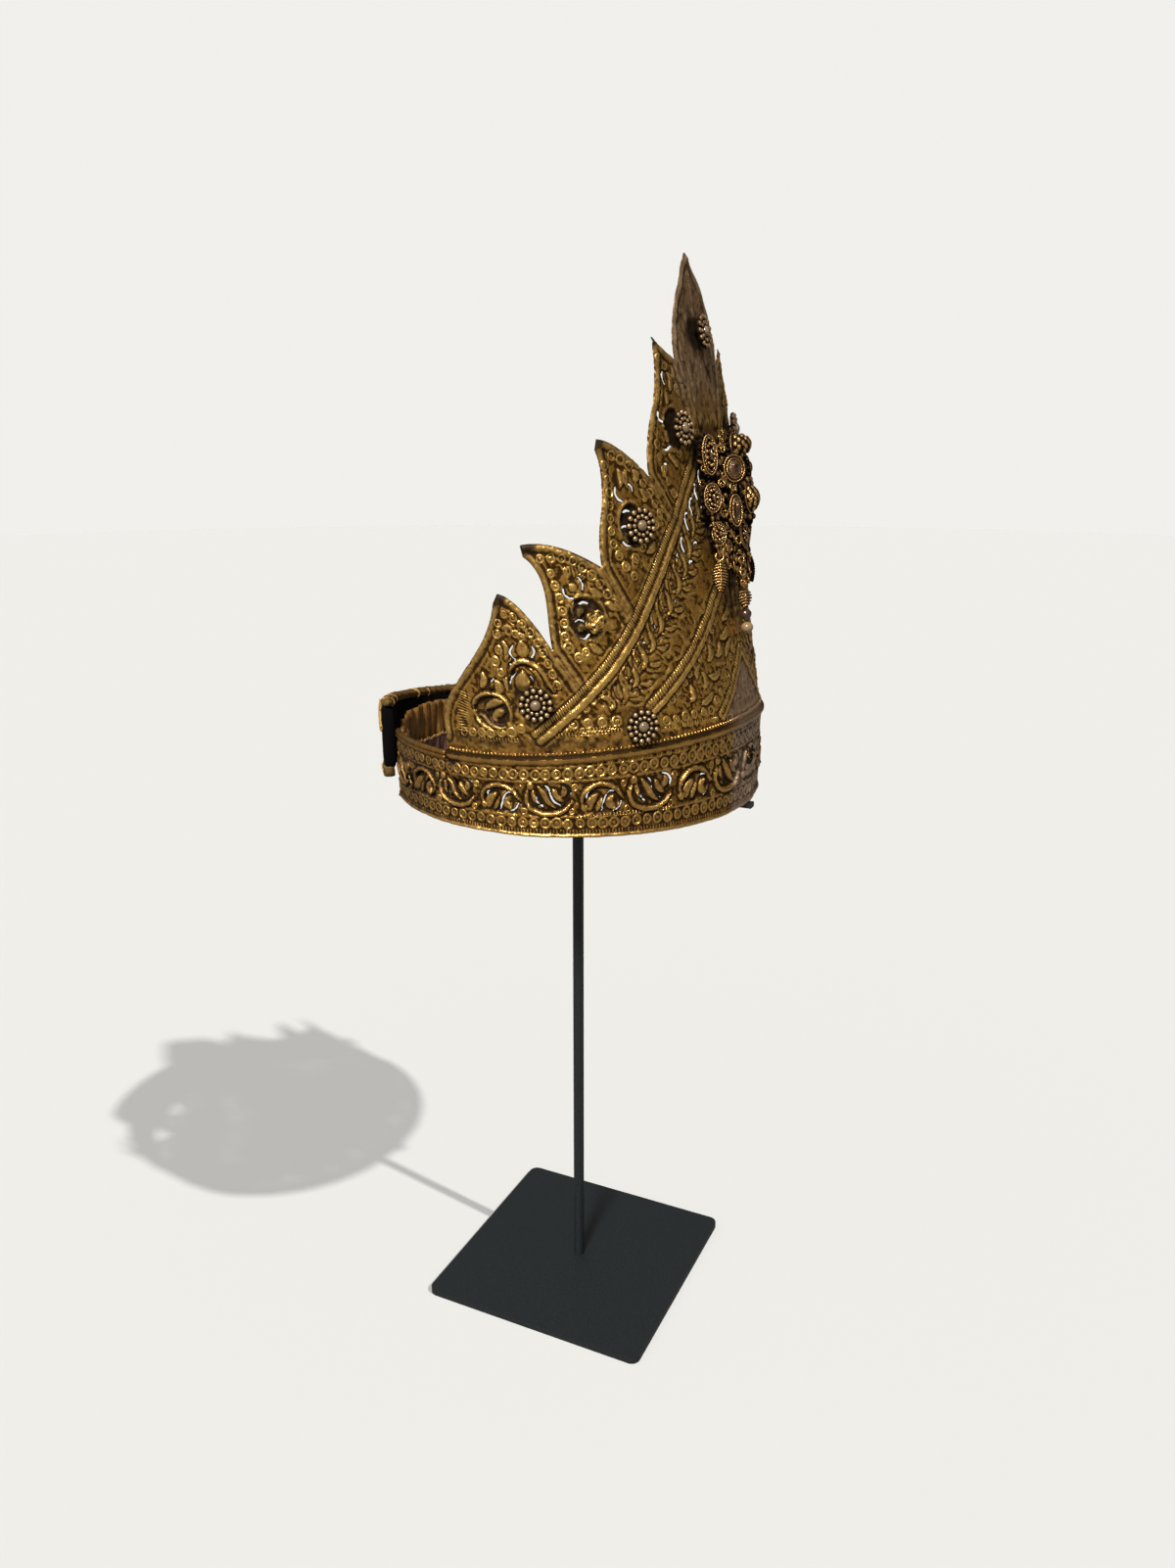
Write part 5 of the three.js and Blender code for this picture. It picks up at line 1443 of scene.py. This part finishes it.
def make_spray():
    frame_bm = bmesh.new()
    for name, (side, height, proud, wide, high, deep, swing) in MEDALLIONS.items():
        for label, sign in (((f"{name}_near", -1), (f"{name}_far", 1)) if side else ((name, 0),)):
            place = spray_frame(sign * side, height, proud, sign * swing)
            frame_bm = joined(frame_bm, bezel(wide, high), place)
            stands_for = [f"spray_stone_{label}"]
            if name in SCALED or name in STUDDED:
                if name in SCALED:
                    filler = scaled_dome(wide - 1.3, high - 1.3, 1.9 * deep)
                else:
                    filler = studs(wide - 1, high - 1)
                filler.transform(place @ moved(z=1.2))
                piece(f"gold_setting_{label}", filler, [GILT, BLACK_GROUND, CLEAR], stands_for)
            else:
                stone = cut_stone(wide - 1.9, high - 1.9, deep)
                stone.transform(place @ moved(z=1.3 + 0.75 * deep))
                gem = piece(f"clear_stone_{label}", stone, [CLEAR], stands_for)
                for face in gem.data.polygons:
                    face.use_smooth = False
            spray_line(frame_bm, [(0, height, 4.6), (sign * side * 0.5, height + 1.2, 0.4 * (proud + 5)),
                                  (sign * side, height, proud)], 0.75)
    spray_line(frame_bm, [(0, h, 4.6) for h in np.linspace(112, 172, 10)], 1.15)
    prongs = bmesh.new()
    for side, top, out in ((-3, 181, 9.4), (0, 176.4, 9), (3, 180, 9)):
        middle = (side * 0.7, 0.5 * (170 + top), 7.6)
        spray_line(prongs, [(side * 0.3, 170, 6.5), middle, (side, top, out)], 0.5)
    spray_line(prongs, [(-2.2, 175.6, 8.4), (0, 175.2, 9), (2.4, 175.8, 8.4)], 0.4)
    piece("spray_prongs", prongs, [BLACK_GROUND, BLACK_GROUND], ["spray_frame"])
    for sign in (-1, 1):
        for side, height, proud, radius, turns, start in SPRAY_CURLS:
            place = spray_frame(sign * side, height, proud, sign * 30)
            joined(frame_bm, scroll(start, radius, sign * turns, 0.42, 1.2), place, material=0)
        for side, height, proud, radius in SPRAY_BALLS:
            stud = marked(ball(radius, 2, (1, 1.1, 1)), -0.3 * radius, radius, 0.7)
            joined(frame_bm, stud, spray_frame(sign * side, height, proud), material=0)
        for k in range(7):
            t = k / 6
            link = marked(ball(1.2, 2, (0.8, 1.2, 0.8)), -0.4, 1.1, 0.5)
            place = spray_frame(sign * (24.0 - 0.6 * t), 140.6 - 14.6 * t, 4.4, sign * 34)
            joined(frame_bm, link, place, material=0)
        for side, height, proud in ((18.6, 124.4, 4.8), (7.4, 116.6, 7.6)):
            ring = marked(wire(oval(2.5, 3.2, 0, 18), 0.5, 2, True), -0.5, 0.5)
            place = spray_frame(sign * side, height, proud, sign * 20, sign * 15)
            joined(frame_bm, ring, place, material=0)
        scatter_seeds(frame_bm, sign)
    for height, across in ((97.4, 1.7), (90.2, 2.0), (85.4, 1.4), (104.6, 2.0), (101.0, 1.8)):
        ring = wire(oval(across, 1.6, 0, 14), 0.4, 1, True)
        joined(frame_bm, marked(ring, -0.4, 0.4, 0.5), spray_frame(0, height, 5.6, -35), material=0)
    piece("gilt_spray_frame", frame_bm, [GILT, BLACK_GROUND], ["spray_frame"])
    for label, side, top, proud, long, wide, swing in (
        ("centre", 0, 109, 6.6, 9.8, 4.2, -34), ("near", -20, 123, 4.2, 14.6, 4.0, -54),
        ("far", 20, 123, 4.2, 14.6, 4.0, 54),
    ):
        drop = leaf_drop(long, wide)
        drop.transform(spray_frame(side, top, proud, swing))
        piece(f"leaf_drop_{label}", drop, [GILT, BLACK_GROUND], [f"spray_drop_{label}"])
    for label, height, radius, glass in (("dark", 92.6, 3.0, DARK_BEAD), ("pale", 86.4, 2.9, PALE_BEAD)):
        bead = ball(radius, 3, (1, 0.94, 1))
        bead.transform(spray_frame(0, height, 5.4))
        piece(f"{label}_glass_bead", bead, [glass], [f"spray_bead_{label}"])


# ---- The cloth at the back and the wire ties ----

STRAP_ANGLE = 41  # half angle of the strap, in degrees from the middle of the back
STRAP_RADIUS = 97.5


def strap_height(angle, share):
    """Height at a share of the way up the strap: its foot sags in the middle, its top leans to one side."""
    end = (angle / STRAP_ANGLE) ** 2
    return 5 + 8 * end + share * (31.2 + 0.19 * angle - 7 * end)


def round_back(angle, height, radius):
    """Points in metres, from angles about the middle of the back, heights over the band's foot and radii."""
    turn = np.radians(angle)
    return np.stack([-radius * np.sin(turn), radius * np.cos(turn), BAND_BOTTOM + height + 0 * turn], -1) * MM


def woven(bm, places, across, along):
    """Puts a grid's points in their places and gives it a map in metres along and across the cloth."""
    threads = bm.loops.layers.uv.new("weave")
    bm.verts.index_update()
    for vert, point in zip(bm.verts, places.reshape(-1, 3).tolist()):
        vert.co = point
    u, v = along.ravel().tolist(), across.ravel().tolist()
    for face in bm.faces:
        for loop in face.loops:
            loop[threads].uv = (u[loop.vert.index], v[loop.vert.index])
    return bm


def cloth_tube(ends, segments, around, centre, half_high, half_deep, power, uneven, seed, ends_over=1.6,
               creases=()):
    """A stuffed tube along the back: centre(angle) gives its height and radius, its halves its section."""
    bm, angle, turn = grid(ends, segments, around, 2 * np.pi)
    width = closing(angle, ends, ends_over)
    chance = np.random.default_rng(seed)
    lumps = sum(
        chance.uniform(0.3, 1.0) * np.sin(angle * chance.uniform(0.2, 2.6) + k * turn + chance.uniform(0, 6))
        for k in (0, 1, 1, 2, 2, 3, 3, 4)
    )
    sunk = sum(0.22 * bell(turn - at - 0.15 * np.sin(angle * 0.13 + at), 0.2) for at in creases)
    swell = (1 + uneven * lumps / 3 - sunk) * width
    height, radius = centre(angle)
    up, out = (np.sign(wave) * np.abs(wave) ** power for wave in (np.sin(turn), np.cos(turn)))
    up, out = up * half_high(angle), out * half_deep
    places = round_back(angle, height + up * (0.15 * width + 0.85 * swell), radius + out * swell)
    woven(bm, places, turn * 6 * MM, np.radians(angle) * STRAP_RADIUS * MM)
    return closed_up(bm, 0.01 * MM)


def cloth_sheet(ends, segments, rows, heights, radius, folds):
    """A thin hanging sheet: heights(angle) gives its two edges, folds(angle, share) how far out it goes."""
    bm, angle, share = grid(ends, segments, rows, 1)
    low, high = heights(angle)
    height = low + share * (high - low)
    out = folds(angle, share)
    steps = (np.gradient(field, axis=1) for field in (np.radians(angle) * radius, out))
    length = np.cumsum(np.hypot(*steps), axis=1)
    return woven(bm, round_back(angle, height, radius + out), height * MM, length * MM)


def pleats(angle, share):
    """Fine uneven pleats, gathered tighter at the top than at the foot."""
    lean = angle + 1.1 * (share - 0.5) * np.sin(angle * 0.21)
    wave = np.sin(lean * 1.2 + 1.5 * np.sin(lean * 0.31 + share))
    wave = wave + 0.4 * np.sin(lean * 2.7 + 2.0 * np.sin(lean * 0.23))
    return 0.72 * wave * (0.75 + 0.35 * share) + 0.35 * np.sin(share * 6 + angle * 0.5)


def gauze_top(angle):
    """Upper edge of the inner cloth, hollow in the middle of the back."""
    return 13.6 + 19 * np.abs(angle / 40) ** 2.2 + 0.4 * np.sin(angle * 1.3)


def sewn(bm, path, radius, closed=False):
    """A thread along points round the back: angle, height, radius."""
    line = [round_back(*point) / MM for point in path]
    joined(bm, marked(wire(line, radius, 1, closed), -1, 1), Matrix.Scale(MM, 4), material=0)


def loose_end(bm, start, bend, end=1):
    """A short end of thread that sticks out of the cloth."""
    sewn(bm, [(end * a, h, r) for a, h, r in (start, start + 0.5 * bend, start + bend)], 0.13)


def make_strap():
    strap = cloth_tube((-STRAP_ANGLE, STRAP_ANGLE), 150, 28,
                       lambda angle: (strap_height(angle, 0.5), STRAP_RADIUS),
                       lambda angle: 0.5 * (strap_height(angle, 1) - strap_height(angle, 0)),
                       3.3, 0.42, 0.05, 3)
    velvet = piece("velvet_strap", strap, [VELVET], ["back_strap"])
    tape = cloth_tube((-STRAP_ANGLE - 0.5, STRAP_ANGLE + 0.5), 260, 22,
                      lambda angle: (strap_height(angle, 1) + 1.8, STRAP_RADIUS),
                      lambda angle: 2.3 + 0 * angle, 2.9, 0.75, 0.16, 5, 5.0, (1.0, 2.3, 3.6, 5.3))
    bound = piece("folded_tape", tape, [TAPE], ["strap_binding"])
    tab = cloth_tube((31, 40.4), 44, 18,
                     lambda angle: (strap_height(angle, 0) - 0.4 - 0.22 * (angle - 36), 98.4),
                     lambda angle: 3.3 + 0 * angle, 2.6, 0.42, 0.2, 8, 1.2, (1.2, 5.2))
    folded_end = piece("tape_tab", tab, [TAPE], ["strap_binding"])


def make_lining():
    def satin_edges(angle):
        end = angle / STRAP_ANGLE
        lean = 1.6 * unit(1 - np.abs(end)) + 1.2 * np.sin(np.pi * np.clip(end, -1, 1))
        return 5 + 0.5 * np.sin(angle * 0.3), 31.6 + lean + 0.35 * np.sin(angle * 0.9)

    def gauze_folds(angle, share):
        wave = np.sin(angle * 0.9 + 2 * np.sin(angle * 0.2))
        return 0.5 * wave * (1.2 - share) + 0.3 * np.sin(angle * 2.2 + 3 * share)
    lining = cloth_sheet((-81.5, 81.5), 760, 12, satin_edges, 90.7, pleats)
    satin = piece("pleated_satin", lining, [SATIN], ["strap_lining"], thick=0.25)
    gauze = cloth_sheet((-40, 40), 240, 10, lambda angle: (3.5 + 0.6 * np.sin(angle * 0.5), gauze_top(angle)),
                        88.2, gauze_folds)
    inner = piece("inner_cloth", gauze, [GAUZE], ["strap_lining"], thick=0.25)
    frayed = bmesh.new()
    chance = np.random.default_rng(4)
    for angle in [*np.arange(-16, 20, 0.22), *np.arange(26, 37, 0.2), *np.arange(-37, -26, 0.2)]:
        start = np.array([angle, gauze_top(angle) - 0.4, 87.9])
        loose_end(frayed, start, chance.uniform((-0.9, 0.5, -0.7), (0.9, 1.9, 0.3)))
    piece("frayed_edge", frayed, [THREAD], ["strap_lining"])


def make_stitches():
    stitches = bmesh.new()
    chance = np.random.default_rng(9)
    for angle in (-38, -24, -23.4, -3, 3, 3.7, 24, 36, 36.6):
        middle = strap_height(angle, 1) + 1.6
        skew = chance.uniform(-1.2, 1.2)
        loop = [(angle + skew * math.sin(t) / 3, middle + 2.5 * math.sin(t), STRAP_RADIUS + 3.7 * math.cos(t))
                for t in np.linspace(0, 2 * math.pi, 16, False)]
        sewn(stitches, loop, 0.22, True)
    for angle in np.arange(24.5, 40, 0.9):
        foot, top = strap_height(angle, 0.93), strap_height(angle, 1.0)
        for side in (-1, 1):
            sewn(stitches, [(angle + side * 0.5 * t, foot + (top - foot) * t, 101.2 + 0.3 * math.sin(6 * t))
                            for t in (0.0, 0.4, 0.8)], 0.2)
    # a plait of gold thread down the strap's end, and a few short loose ends
    for end in (-1, 1):
        for phase in (0, 2.1, 4.2):
            braid = []
            for t in np.linspace(0, 1, 46):
                swing = 26 * t + phase
                braid.append((end * (28 + 12 * t + 0.7 * math.sin(swing)),
                              strap_height(end * 34.0, 0.98) - 9 * t + 1.3 * math.cos(swing),
                              101.3 + 0.5 * math.cos(2 * swing)))
            sewn(stitches, braid, 0.42)
        for _ in range(60):
            angle, share = chance.uniform(24, 41), chance.choice((0.02, 0.98))
            start = np.array([angle, strap_height(end * angle, share), 101.3])
            loose_end(stitches, start, chance.uniform((-1.0, -1.6, 0.1), (1.0, 1.6, 0.7)), end)
    piece("gold_stitching", stitches, [THREAD], ["strap_binding"])


def make_ties():
    """Turns of gilt and blackened wire crossed over each hole in the band."""
    for name, arc, height in (("near", -200, 15), ("far", 200, 15), ("front", -6, 26)):
        tie = bmesh.new()
        for k, (lean, size, lift) in enumerate(((0.5, 1.0, 0.2), (-0.55, 0.95, 0.9), (1.45, 0.8, 0.6))):
            strand = []
            for t in np.linspace(0, 2 * math.pi, 22, False):
                x, y = 1.6 * size * math.cos(t), 4.8 * size * math.sin(t)
                across = x * math.cos(lean) - y * math.sin(lean)
                along = x * math.sin(lean) + y * math.cos(lean)
                strand.append((across, along, lift + 0.5 * math.cos(2 * t + k)))
            joined(tie, marked(wire(strand, 0.46, 1, True), -0.6, 1.4), material=1 if k == 1 else 0)
        tie.transform(wall_frame(arc, height, 2.3))
        piece(f"crossed_wire_{name}", tie, [GILT, BLACK_GROUND], [f"wire_tie_{name}"])


def finish_carried():
    """Paints the stand's pieces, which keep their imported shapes."""
    for name in ("base_plate", "stand_rod", "crown_support"):
        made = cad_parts[name]
        if made.material_slots:
            for holder in made.material_slots:
                holder.material = BLACK_STEEL
        else:
            made.data.materials.append(BLACK_STEEL)


# ---- Floor, light and camera ----

def make_stage():
    bm = bmesh.new()
    bmesh.ops.create_circle(bm, cap_ends=True, segments=96, radius=6.0)
    floor = put("floor", to_mesh("floor", bm))
    made, tree, shader = new_material("Pale floor")
    seen = node(tree, "ShaderNodeLightPath", {}).outputs["Is Camera Ray"]
    shown = mixed(tree, seen, colour(0.22, 0.215, 0.205), colour(0.40, 0.40, 0.39))
    glow = mixed(tree, seen, colour(0, 0, 0), colour(0.345, 0.340, 0.330))
    feed(tree, shader, {"Base Color": shown, "Emission Color": glow, "Emission Strength": 1.0,
                        "Roughness": 0.9, "Specular IOR Level": 0.0})
    floor.data.materials.append(made)
    return floor


def make_world():
    world = bpy.data.worlds.new("Studio")
    bpy.context.scene.world = world
    world.use_nodes = True
    tree = world.node_tree
    tree.nodes.clear()
    seen = node(tree, "ShaderNodeLightPath", {}).outputs["Is Camera Ray"]
    way = node(tree, "ShaderNodeTexCoord", {}).outputs["Generated"]
    lit = node(tree, "ShaderNodeVectorMath", {0: way, 1: (-0.62, 0.1, 0.78)}, operation="DOT_PRODUCT")
    spread = lit.outputs["Value"]
    glow = maths(tree, "POWER", ranged(tree, spread, -0.75, 0.95, 0.0, 1.0), 2.2)
    glow = ranged(tree, glow, 0.0, 1.0, 0.04, 0.66)
    around = mixed(tree, 1.0, colour(1.0, 0.97, 0.92), glow, "MULTIPLY")
    shown = mixed(tree, seen, around, colour(0.879, 0.871, 0.837))
    back = node(tree, "ShaderNodeBackground", {"Color": shown, "Strength": 1.0})
    out = tree.nodes.new("ShaderNodeOutputWorld")
    tree.links.new(back.outputs[0], out.inputs["Surface"])


def sun(name, energy, spread, way, tint):
    """A soft sun shining from a direction."""
    light = bpy.data.lights.new(name, "SUN")
    light.energy = energy
    light.angle = math.radians(spread)
    light.color = tint
    holder = put(name, light)
    holder.rotation_euler = Vector(way).to_track_quat("Z", "Y").to_euler()
    return holder


def make_lights(floor):
    """The key lights the crown, a second sun only the floor."""
    key = sun("key", 4.5, 10, (-1.0, -0.14, 1.1), (1.0, 0.96, 0.89))
    floor_sun = sun("floor_key", 3.8, 1.2, (-0.165, -0.853, 1.0), (1.0, 0.99, 0.96))
    for holder, state in ((key, "EXCLUDE"), (floor_sun, "INCLUDE")):
        lit = bpy.data.collections.new(f"{holder.name} receivers")
        lit.objects.link(floor)
        lit.collection_objects[0].light_linking.link_state = state
        holder.light_linking.receiver_collection = lit


def make_camera():
    view = bpy.data.cameras.new("camera")
    view.sensor_width = 36
    view.sensor_fit = "AUTO"
    view.lens = 26.98
    camera = put("camera", view)
    camera.location = (-0.5367, -0.2593, 0.4740)
    down = math.radians(16.57)
    way = Vector((0.9041 * math.cos(down), 0.4274 * math.cos(down), -math.sin(down)))
    camera.rotation_euler = way.to_track_quat("-Z", "Y").to_euler()
    bpy.context.scene.camera = camera
    bpy.context.scene.view_settings.view_transform = "Standard"


make_camera()
make_world()
make_lights(make_stage())
make_plate()
make_band()
make_rolls()
make_rosettes()
make_spray()
make_strap()
make_lining()
make_stitches()
make_ties()
finish_carried()
